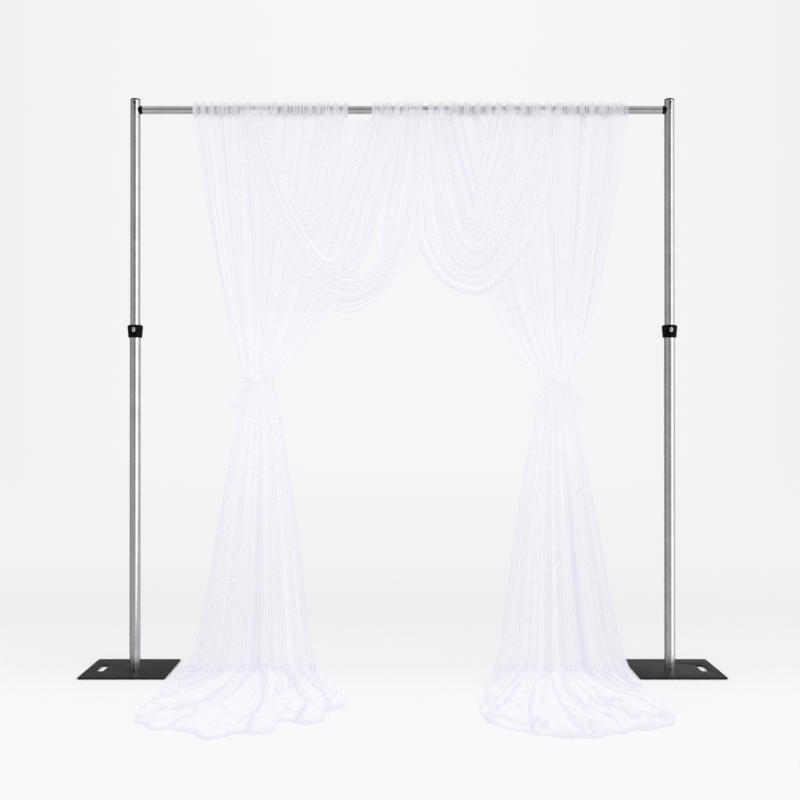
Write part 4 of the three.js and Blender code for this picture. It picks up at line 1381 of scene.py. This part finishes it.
    def swag(self) -> Piece:
        """The swag: nested bands that hang from the rod in loops, with their folds along them.

        Returns:
            The swag.
        """
        weaves, (at_bar, in_loop, step) = [], self.swag_forward
        t, across = np.linspace(0, 1, 170)[None], np.linspace(0, 1, 110)[:, None]
        fall = np.sin(math.pi * t) ** 0.7
        for order, edges in enumerate(self.bands):
            low, high = (spline(loop(edge), t[0])[None] for edge in edges)
            seed = self.seed + 40 + 5 * order
            even = across + 0.03 * ribs(across, t, (1.0, 4.0), seed, 1.0) * np.sin(math.pi * across)
            flat = mix(high, low, even[..., None])
            forward = mix(at_bar, in_loop + step * order, fall)
            belly = 0.022 * fall * np.sin(math.pi * across)
            fold = mix(0.004, 0.012, fall) * ribs(across, t, (2.0, 6.0), seed + 1, 0.8)
            fine = mix(0.002, 0.003, fall) * ribs(across, t, (6.0, 13.0), seed + 2, 0.6)
            fill = np.clip(1.2 + 0.9 * fall + 0.8 * ribs(across, t, (2.0, 7.0), seed + 3, 0.8), 0.5, 3.4)
            fill = fill + 1.0 * smooth(across, 0.93, 0.98) + 0.7 * smooth(-across, -0.06, -0.02)
            # painted shade along the band's folds and along its lower edge
            crease = 0.6 * lines(ribs(across, t, (1.5, 5.0), seed + 4, 0.7), 0.011, across)
            crease = np.maximum(crease, 0.9 * hump(1 - across, 0.014))
            points = points_at(flat[..., 0], MAST_PLANE - forward - belly + fold + fine, flat[..., 1])
            weaves.append(Weave(points, fill + crease, crease=crease, cast=0.14))
        return cloth(self.side.of("swag_net"), weaves, self.swag_cut, lengthwise=False)

    def sash(self) -> Piece:
        """The sash: a crinkled band round the waist, its knot and its tails.

        Returns:
            The sash, with its knot and tails.
        """
        centre = self.waist[0]
        angle, v = np.linspace(0, TURN, 160, endpoint=False)[None], np.linspace(-1, 1, 26)[:, None]
        half_x, (half_y, half_z) = self.waist[1] / 2 + 0.004, self.sash_half
        ridge = 0.0022 * ribs(v / 2 + 0.5, angle / TURN, (2.0, 6.0), self.seed + 80, 1.0)
        out = 0.004 * (1 - v**4) + ridge + 0.0014 * noise(angle * 9, v * 5, self.seed + 81)
        band = points_at(
            centre + (half_x + out) * np.cos(angle),
            MAST_PLANE + (half_y + out) * np.sin(angle),
            SASH_HEIGHT + half_z * v + 0.002 * np.sin(angle),
        )
        theta, phi = np.linspace(0, TURN, 72, endpoint=False)[None], np.linspace(0.02, math.pi - 0.02, 30)[:, None]
        lump = 1 + 0.09 * np.sin(3 * theta + 2 * phi) + 0.06 * np.sin(9 * theta + 3 * phi)
        front = MAST_PLANE - half_y - 0.006
        wide, deep, high = self.knot_half
        knot = points_at(
            centre + wide * lump * np.sin(phi) * np.cos(theta),
            front - 0.008 + deep * lump * np.sin(phi) * np.sin(theta),
            SASH_HEIGHT + high * lump * np.cos(phi),
        )
        weaves = [Weave(points, 6.0, closed=True) for points in (band, knot)]
        weaves += [self.tail(centre, front, way, number) for number, way in enumerate(self.tails)]
        return cloth(self.side.of("sash_net"), weaves, (0.3, 1.0))

    def tail(self, centre: float, front: float, way: int, number: int) -> Weave:
        """One tail of the sash, pleated at its knot and fanned at its end.

        Args:
            centre: X of the knot.
            front: Y of the knot's middle.
            way: The side that it falls to, by the sign of its x.
            number: Picks its pleats.

        Returns:
            The tail.
        """
        u, t = np.linspace(-0.5, 0.5, 60)[None], np.linspace(0, 1, 46)[:, None]
        ripple = ribs(u + 0.5, t, (3.0, 7.0), self.seed + 90 + number) * mix(0.004, 0.010, t)
        aside, forward, down = self.tail_reach
        x = centre + way * (0.006 + aside * t**0.8) + mix(*self.tail_width, t**0.7) * u
        y = front - 0.012 * np.sin(math.pi * t * 0.8) - forward * t + ripple
        z = SASH_HEIGHT - 0.006 - down * t**1.2 + 0.045 * way * u * t + 0.006 * noise(u * 9, t * 2, self.seed + 3)
        return Weave(points_at(x, y, z), 1.8)

    def hanging(self, u: Grid, s: Grid, back: int) -> Weave:
        """The skirt's front or back sheet at places across it and down it.

        Args:
            u: Places across, as one row.
            s: Places down, as one column.
            back: 0 for the front sheet, 1 for the back one.

        Returns:
            That part of the sheet.
        """
        flare = 0.045 * (u - 0.5) * smooth(s, 0.82, 1.0) ** 2
        x = self.spread(u, s, self.hem, self.skirt_share) + flare
        depth = self.folds(u, s + 3.1 * back, (0.010, 0.030, 0.0012, 0.0065))
        gap = np.zeros_like(x)
        for middle, width, deep in self.slits:
            fold = hump(u - middle, width * (0.35 + 0.65 * s)) * (1 - back)
            depth = depth + deep * fold * smooth(s, 0.25, 0.7)
            gap = np.clip(gap + fold * smooth(s, 0.2, 0.6), 0, 1)
        thickness = self.skirt_depth * smooth(s, 0.0, 0.7) * np.sqrt(np.clip(1 - (2 * u - 1) ** 4, 0, 1))
        y = MAST_PLANE + depth + thickness * (back - 0.5) - self.skirt_forward * s**2
        z = mix(SASH_HEIGHT - self.tie, self.hem_height, s)
        # painted shade along the skirt's folds and edges, and deep in its slits
        crease = np.maximum(self.creases(u, s, 32 + back, (0.45, 0.6), 0.3), 0.8 * gap)
        thin = sum(left_out * hump(u - middle, half) for middle, half, left_out in self.sheer)
        ends = self.spread(np.array([[0.0, 1.0]]), s, self.hem, self.skirt_share)
        fill = 0.52 * self.layering(u, s, ends, 30 + back) * (1 - 0.6 * gap) * (1 - thin * smooth(s, 0.1, 0.5))
        fill = fill * mix(2.4, 1.0, smooth(s, 0.0, 0.6)) + 0.8 * crease
        return Weave(points_at(x, y, z), fill, crease=crease)

    def skirt(self) -> Piece:
        """The curtain below its sash, drawn forwards as it falls, with its hem down inside its pool.

        Returns:
            The skirt.
        """
        u, s = np.linspace(0, 1, self.columns)[None], np.linspace(0, 1, 94)[:, None]
        sheets = [self.hanging(u, s, back) for back in (0, 1)]
        for sheet in sheets:
            sheet.layers = sheet.layers * mix(1.0, 0.06, smooth(s, self.foot, 1.0))
        return cloth(self.side.of("skirt_net"), sheets, (self.cut_width, 1.4))

    def pool(self) -> Piece:
        """Cloth on the floor: it takes up the skirt's folds at its foot and swoops out to a crumpled edge.

        Returns:
            The pool.
        """
        across, foot = np.linspace(0, 1, self.columns)[None], np.array([[self.foot]])
        sheets = self.hanging(across, foot, 0), self.hanging(across[:, ::-1], foot, 1)
        start = np.concatenate([sheet.points[0] for sheet in sheets])[None]
        start_fill = np.concatenate([sheet.layers[0] for sheet in sheets])[None]
        start_crease = np.concatenate([sheet.crease[0] for sheet in sheets])[None]
        rim = np.array(self.outline + self.outline[:1])
        turn = reaches(rim)[self.front_points - 1]
        rows, w = np.linspace(0, 1, 90)[:, None], np.linspace(0, 1, 2 * self.columns, endpoint=False)[None]
        around = np.concatenate([turn * across, turn + (1 - turn) * across], 1)
        swing = (around - self.sweep * rows**1.5 * np.sin(math.pi * np.clip(around / turn, 0, 1))) % 1
        edge = spline(rim, swing.reshape(-1)).reshape(*swing.shape, 2)
        scallop = mix(1.0, 1 + 0.022 * ribs(w, 0, (14, 40), self.seed + 100), rows)
        plan = mix(start[..., :2] - np.array([0, MAST_PLANE]), edge, (rows**1.4 * scallop)[..., None])
        px, py = plan[..., 0], plan[..., 1]
        ridges, lumps = self.crumple
        lift = ridges * np.sin(math.pi * rows**0.8) ** 0.8
        ridge = lift * ribs(w, rows, (9, 24), self.seed + 102, 0.4)
        fine = 0.25 * lift * ribs(w, rows, (38, 80), self.seed + 103, 0.8)
        bumps = noise(px * 15, py * 9, self.seed + 104)
        lump = lumps * smooth(rows, 0.25, 0.7) * bumps
        bead = 0.55 * lumps * smooth(rows, 0.5, 0.9) * noise(px * 34, py * 22, self.seed + 105)
        lowest, heap, highest = self.heap
        body = (start[0, 0, 2] - heap) * (1 - rows) ** 2.2 + heap
        z = (body + ridge + fine + lump + bead) * np.sqrt(np.clip((1 - rows) / 0.07, 0, 1))
        # painted shade in the pool's creases, in its crumples and along its outer edge
        crease = 0.9 * lines(ribs(w, rows, (6, 17), self.seed + 107, 0.4), 0.0028, w) * smooth(rows, 0.04, 0.3)
        crumpled = hump(bumps + 0.5 * noise(px * 24, py * 14, self.seed + 108), 0.10) * smooth(rows, 0.3, 0.6)
        crease = 0.85 * np.maximum(np.maximum(crease, lumps / 0.022 * crumpled), smooth(rows, 0.975, 1.0))
        crease = mix(start_crease, crease, smooth(rows, 0.0, 0.45))
        fill = np.clip(1.5 + 0.6 * ribs(w, rows, (7, 24), self.seed + 106, 0.4) + crease, 0.8, 4.0)
        fill = mix(start_fill, fill, smooth(rows, 0.0, 0.3))
        points = points_at(px, MAST_PLANE + py, np.clip(z, lowest, highest))
        return cloth(self.side.of("pool_net"), [Weave(points, fill, True, crease, 0.9)], (3.0, 0.6))


def loop(points: Pairs) -> Grid:
    """Turns a loop's points, as the camera sees them in hundreds of picture points, into x and z in metres.

    Args:
        points: The points, across and down the picture.

    Returns:
        The same points on a plane just in front of the masts.
    """
    focus, middle_x, middle_z, forward = 11.77, 4.024, 4.05, 0.06
    reach = (Studio.distance - forward) / focus
    return np.array([
        (Studio.aside + (x - middle_x) * reach, Studio.eye + (middle_z - z) * reach) for x, z in points
    ])


# ---------------------------------------------------------------- studio


def ramp(tree: Tree, value: bpy.types.Node, stops: Pairs) -> bpy.types.Node:
    """Turns a node's value from 0 to 1 into a level that runs smoothly through (place, level) stops.

    Args:
        tree: The node tree.
        value: The node whose value it reads.
        stops: The places and levels.

    Returns:
        The node that gives the level.
    """
    curve = add_node(tree, "ValToRGB", {0: value})
    band = curve.color_ramp
    band.interpolation = "EASE"
    while len(band.elements) < len(stops):
        band.elements.new(1.0)
    for element, (place, level) in zip(band.elements, sorted(stops)):
        element.position = place
        element.color = (level, level, level, 1.0)
    return curve


@dataclass
class Studio:
    """A pale paper floor and wall, soft light and the camera.

    Attributes:
        distance: From the masts to the camera.
        eye: The camera's height.
        aside: The camera's x.
        lens: Its focal length in millimetres.
        tilt: Its turn about X.
        wall: Colour of the wall behind.
        wall_edge: How much of that is left at either side, where the wall is painted in shade.
        wall_spread: Square of the slope at which a look to the side meets that.
        paper: The floor's tint.
        reflected: What a mirror sees round the horizon, from behind by way of the left, as (turn, level).
        reflected_strength: How bright a level of 1 is.
        reflected_up: What a bar that lies along X sees from straight below to straight above, as (height, level).
        steep: Slope of a look at which a bar takes over from a mast, and at which it has.
        banding: Share of the bar's bands in a look straight behind.
        evenness: Light on cloth from straight below and from straight above.
        floor_levels: The floor's painted shade from the front to the back, as (share, level).
        floor_reach: Y of that front and back.
        floor_fade: Y at which the floor starts to turn into the wall, and at which it has.
        key_strength: Strength of the lamp.
        key_width: How wide the lamp is, in degrees.
        key_turn: Its turns about X and Z, in degrees.
    """

    distance: float = 5.65
    eye: float = 1.27
    aside: float = -0.0115
    lens: float = 52.97
    tilt: float = math.radians(90.243)
    wall: str = "#f5f6f8"
    wall_edge: float = 0.955
    wall_spread: float = 0.11
    paper: tuple[float, float, float, float] = (0.985, 0.99, 1.0, 1.0)
    reflected: Pairs = (
        (0.0, 0.09), (0.17, 0.15), (0.30, 0.28), (0.44, 0.28), (0.48, 0.20), (0.53, 0.28), (0.58, 1.0), (0.68, 1.0),
        (0.73, 0.50), (0.84, 0.36), (1.0, 0.10),
    )
    reflected_strength: float = 2.5
    reflected_up: Pairs = (
        (0.0, 0.34), (0.30, 0.42), (0.42, 0.30), (0.53, 0.08), (0.62, 0.06), (0.76, 0.18), (0.90, 0.46), (1.0, 0.30),
    )
    steep: tuple[float, float] = (0.24, 0.42)
    banding: float = 0.6
    evenness: tuple[float, float] = (0.90, 1.04)
    floor_levels: Pairs = ((0.0, 0.91), (0.24, 0.905), (0.40, 0.85), (0.62, 0.82), (1.0, 0.84))
    floor_reach: tuple[float, float] = (-1.6, 4.4)
    floor_fade: tuple[float, float] = (3.0, 22.0)
    key_strength: float = 0.3
    key_width: float = 30.0
    key_turn: tuple[float, float] = (58.0, 40.0)

    def build(self) -> None:
        """Sets the view, the camera, the floor and the light."""
        scene = bpy.context.scene
        scene.view_settings.view_transform = "Standard"
        scene.cycles.transparent_max_bounces = 160
        scene.cycles.max_bounces = scene.cycles.diffuse_bounces = 12
        self.camera(scene)
        self.floor()
        self.world(scene)
        self.key()

    def camera(self, scene: bpy.types.Scene) -> None:
        """The camera, level with the sashes and square to the stand.

        Args:
            scene: The scene that looks through it.
        """
        data = bpy.data.cameras.new("camera")
        data.lens, data.sensor_width = self.lens, 36.0
        data.clip_end = 200.0
        camera = bpy.data.objects.new("camera", data)
        camera.location = (self.aside, MAST_PLANE - self.distance, self.eye)
        camera.rotation_euler = (self.tilt, 0.0, 0.0)
        scene.collection.objects.link(camera)
        scene.camera = camera

    def vignette(self, tree: Tree, side: bpy.types.Node) -> Socket:
        """The wall's colour, with a painted shade that makes it a little darker to either side.

        Args:
            tree: The node tree.
            side: Slope of the look to one side.

        Returns:
            The colour.
        """
        square = add_node(tree, "Math", {0: side, 1: side}, operation="MULTIPLY")
        share = add_node(tree, "MapRange", {"Value": square, "From Max": self.wall_spread})
        wall = srgb(self.wall)
        edge = (*(self.wall_edge * channel for channel in wall[:3]), 1.0)
        return add_node(tree, "Mix", {0: share, 6: wall, 7: edge}, data_type="RGBA").outputs[2]

    def floor(self) -> None:
        """A wide paper floor, which is as pale as the wall far behind the stand."""
        deselect()
        bpy.ops.mesh.primitive_plane_add(size=120, location=(0, 0, -0.0005))
        floor = bpy.context.object
        floor.name = "floor"
        material, tree = blank_material("matt paper floor")
        add = partial(add_node, tree)
        place = add("SeparateXYZ", {0: add("TexCoord").outputs["Object"]}).outputs
        front, back = self.floor_reach
        depth = add("MapRange", {"Value": place[1], "From Min": front, "From Max": back})
        # painted shade: the floor darkens from its front towards the back
        level = ramp(tree, depth, self.floor_levels)
        paper = add("Mix", {0: 1.0, 6: level, 7: self.paper}, data_type="RGBA", blend_type="MULTIPLY")
        near = add("BsdfDiffuse", {"Color": paper.outputs[2]})
        away = add("Math", {0: place[1], 1: self.distance - MAST_PLANE}, operation="ADD")
        side = add("Math", {0: place[0], 1: away}, operation="DIVIDE")
        far = add("Emission", {"Color": self.vignette(tree, side)})
        fade = {"Value": place[1], "From Min": self.floor_fade[0], "From Max": self.floor_fade[1]}
        share = add("MapRange", fade, interpolation_type="SMOOTHERSTEP")
        seen = add("MixShader", {0: share, 1: near, 2: far})
        mirrored = add("LightPath").outputs["Is Glossy Ray"]
        show(tree, add("MixShader", {0: mirrored, 1: seen, 2: add("BsdfTransparent")}))
        floor.data.materials.append(material)

    def world(self, scene: bpy.types.Scene) -> None:
        """A pale wall to the camera, even light to cloth, and a dim room with one bright card to metal.

        Args:
            scene: The scene that it lights.
        """
        world = bpy.data.worlds.new("room")
        world.use_nodes = True
        tree = world.node_tree
        tree.nodes.clear()
        add = partial(add_node, tree)
        path = add("LightPath").outputs
        way = add("SeparateXYZ", {0: add("TexCoord").outputs["Generated"]}).outputs
        wall = self.vignette(tree, add("Math", {0: way[0], 1: way[1]}, operation="DIVIDE"))
        ahead = add("Math", {0: way[1], 1: -1.0}, operation="MULTIPLY")
        turn = add("Math", {0: way[0], 1: ahead}, operation="ARCTAN2")
        share = add("MapRange", {"Value": turn, "From Min": -math.pi, "From Max": math.pi})
        level = ramp(tree, share, self.reflected)
        banded = ramp(tree, add("MapRange", {"Value": way[2], "From Min": -1.0}), self.reflected_up)
        slope = add("Math", {0: way[2]}, operation="ABSOLUTE")
        steep = add("MapRange", {"Value": slope, "From Min": self.steep[0], "From Max": self.steep[1]})
        behind = add("Math", {0: share, 1: 0.5, 2: 0.07}, operation="COMPARE")
        partly = add("Math", {0: behind, 1: self.banding}, operation="MULTIPLY")
        along = add("Math", {0: steep, 1: partly}, operation="MAXIMUM")
        both = add("Mix", {0: along, 2: level, 3: banded})
        bright = add("Math", {0: both, 1: self.reflected_strength}, operation="MULTIPLY")
        below, above = self.evenness
        even = add("MapRange", {"Value": way[2], "From Min": -1.0, "To Min": below, "To Max": above})
        room = add("Mix", {0: path["Is Glossy Ray"], 2: even, 3: bright})
        seen = add("Math", {0: path["Is Camera Ray"], 1: path["Is Transmission Ray"]}, operation="MAXIMUM")
        colour = add("Mix", {0: seen, 6: room, 7: wall}, data_type="RGBA")
        show(tree, add("Background", {"Color": colour.outputs[2]}))
        # the room is even, so a surface's own bounces find its light with less grain than aimed samples do
        world.cycles.sampling_method = "NONE"
        scene.world = world

    def key(self) -> None:
        """One broad soft lamp from the front right, which gives the folds their soft shading."""
        lamp = bpy.data.lights.new("key", "SUN")
        lamp.energy = self.key_strength
        lamp.angle = math.radians(self.key_width)
        key = bpy.data.objects.new("key", lamp)
        about_x, about_z = map(math.radians, self.key_turn)
        key.rotation_euler = (about_x, 0.0, about_z)
        bpy.context.scene.collection.objects.link(key)


# ---------------------------------------------------------------- the two curtains

# The swags' loops as the camera sees them, each band's outer loop and then its inner one.
LEFT_BANDS: list[tuple[Pairs, Pairs]] = [
    (
        [
            (2.52, 1.08), (2.62, 1.50), (2.76, 1.88), (2.92, 2.18), (3.06, 2.36), (3.16, 2.40),
            (3.24, 2.28), (3.31, 2.00), (3.38, 1.65), (3.44, 1.30), (3.47, 1.08),
        ],
        [
            (2.76, 1.08), (2.80, 1.30), (2.85, 1.55), (2.91, 1.80), (2.96, 2.00), (2.99, 2.11),
            (3.03, 2.03), (3.09, 1.80), (3.15, 1.55), (3.21, 1.30), (3.26, 1.08),
        ],
    ),
    (
        [
            (2.46, 1.08), (2.56, 1.59), (2.72, 2.05), (2.92, 2.43), (3.15, 2.70), (3.35, 2.83),
            (3.52, 2.80), (3.65, 2.62), (3.78, 2.25), (3.90, 1.80), (3.98, 1.40), (4.01, 1.08),
        ],
        [
            (2.66, 1.08), (2.75, 1.50), (2.88, 1.90), (3.03, 2.22), (3.18, 2.45), (3.30, 2.57),
            (3.40, 2.50), (3.50, 2.25), (3.60, 1.90), (3.68, 1.55), (3.74, 1.25), (3.76, 1.08),
        ],
    ),
    (
        [
            (2.41, 1.08), (2.48, 1.59), (2.62, 2.00), (2.80, 2.39), (2.98, 2.71), (3.21, 3.00),
            (3.37, 3.11), (3.51, 3.135), (3.71, 3.06), (3.92, 2.87), (4.08, 2.66), (4.22, 2.49),
            (4.32, 2.05), (4.38, 1.60), (4.40, 1.08),
        ],
        [
            (2.56, 1.08), (2.68, 1.59), (2.85, 2.05), (3.05, 2.40), (3.25, 2.62), (3.45, 2.73),
            (3.62, 2.74), (3.76, 2.69), (3.83, 2.59), (3.83, 2.45), (3.82, 2.20), (3.88, 1.85),
            (3.94, 1.45), (3.98, 1.08),
        ],
    ),
]
RIGHT_BANDS: list[tuple[Pairs, Pairs]] = [
    (
        [
            (4.40, 1.08), (4.44, 1.40), (4.50, 1.70), (4.57, 2.00), (4.66, 2.26), (4.74, 2.42),
            (4.81, 2.46), (4.88, 2.38), (4.95, 2.15), (5.03, 1.90), (5.12, 1.63), (5.20, 1.38),
            (5.26, 1.08),
        ],
        [
            (4.52, 1.08), (4.54, 1.30), (4.57, 1.50), (4.60, 1.70), (4.64, 1.90), (4.68, 2.05),
            (4.71, 2.12), (4.74, 2.03), (4.77, 1.85), (4.81, 1.60), (4.87, 1.35), (4.93, 1.08),
        ],
    ),
    (
        [
            (4.31, 1.08), (4.34, 1.50), (4.38, 1.90), (4.44, 2.25), (4.53, 2.50), (4.66, 2.64),
            (4.78, 2.68), (4.90, 2.62), (5.03, 2.44), (5.16, 2.20), (5.28, 1.92), (5.38, 1.65),
            (5.46, 1.38), (5.50, 1.08),
        ],
        [
            (4.47, 1.08), (4.50, 1.40), (4.55, 1.70), (4.61, 1.98), (4.68, 2.22), (4.75, 2.36),
            (4.81, 2.40), (4.88, 2.30), (4.97, 2.08), (5.08, 1.83), (5.19, 1.58), (5.29, 1.34),
            (5.37, 1.08),
        ],
    ),
    (
        [
            (4.12, 1.08), (4.15, 1.50), (4.18, 2.00), (4.22, 2.50), (4.35, 2.73), (4.51, 2.88),
            (4.70, 2.95), (4.79, 2.96), (4.93, 2.91), (5.09, 2.75), (5.29, 2.48), (5.43, 2.18),
            (5.54, 1.86), (5.59, 1.59), (5.63, 1.30), (5.66, 1.08),
        ],
        [
            (4.34, 1.08), (4.37, 1.50), (4.41, 1.90), (4.46, 2.22), (4.51, 2.42), (4.60, 2.58),
            (4.70, 2.64), (4.82, 2.60), (4.94, 2.44), (5.08, 2.20), (5.20, 1.94), (5.31, 1.68),
            (5.39, 1.44), (5.43, 1.28), (5.45, 1.08),
        ],
    ),
]

# The pools' edges on the floor, clockwise from above, from the front of the skirt's left edge.
LEFT_OUTLINE = [
    (-1.062, -0.300), (-1.072, -0.560), (-1.092, -0.800), (-1.060, -0.960), (-0.930, -1.050),
    (-0.840, -1.085), (-0.797, -1.140), (-0.683, -1.152), (-0.610, -1.105), (-0.530, -1.120),
    (-0.505, -1.070), (-0.512, -0.975), (-0.447, -0.930), (-0.400, -0.968), (-0.320, -0.925),
    (-0.330, -0.815), (-0.262, -0.715), (-0.278, -0.496), (-0.340, -0.280), (-0.390, -0.120),
    (-0.450, 0.040), (-0.700, 0.080), (-1.020, 0.030),
]
RIGHT_OUTLINE = [
    (0.400, -0.330), (0.345, -0.600), (0.325, -0.820), (0.375, -1.000), (0.472, -1.075), (0.599, -1.160),
    (0.762, -1.145), (0.893, -1.070), (1.050, -1.000), (1.112, -0.790), (1.080, -0.500), (1.010, -0.260),
    (0.880, -0.215), (0.720, -0.210), (0.520, -0.225),
]

CURTAINS = (
    Curtain(
        Side.LEFT, top=(-1.005, 0.104), waist=(-0.690, 0.115), share=0.72, breaks=(-0.261, -0.146),
        hem=(-0.960, -0.400), outline=LEFT_OUTLINE, front_points=19, crumple=(0.020, 0.012), sweep=0.10,
        bands=LEFT_BANDS, tails=(-1,), slits=((0.52, 0.045, 0.10),), sheer=((0.0, 0.13, 0.5), (1.0, 0.06, 0.4)),
        seed=11,
    ),
    Curtain(
        Side.RIGHT, top=(0.124, 1.083), waist=(0.742, 0.106), share=0.60, breaks=None,
        hem=(0.428, 1.015), outline=RIGHT_OUTLINE, front_points=12, crumple=(0.012, 0.020), sweep=-0.03,
        bands=RIGHT_BANDS, tails=(-1, 1), slits=((0.66, 0.035, 0.06),), sheer=((0.0, 0.14, 0.5), (0.88, 0.16, 0.5)),
        seed=23, fullness=1.15,
    ),
)


def main() -> None:
    """Builds the studio, the stand and the drapery."""
    logging.basicConfig(level=logging.INFO, format="%(name)s: %(message)s")
    Studio().build()
    for side in Side:
        Base(side).build()
        Mast(side).build()
        Lock(side).build()
    Crossbar().build()
    for curtain in CURTAINS:
        curtain.build()


if __name__ == "__main__":
    main()
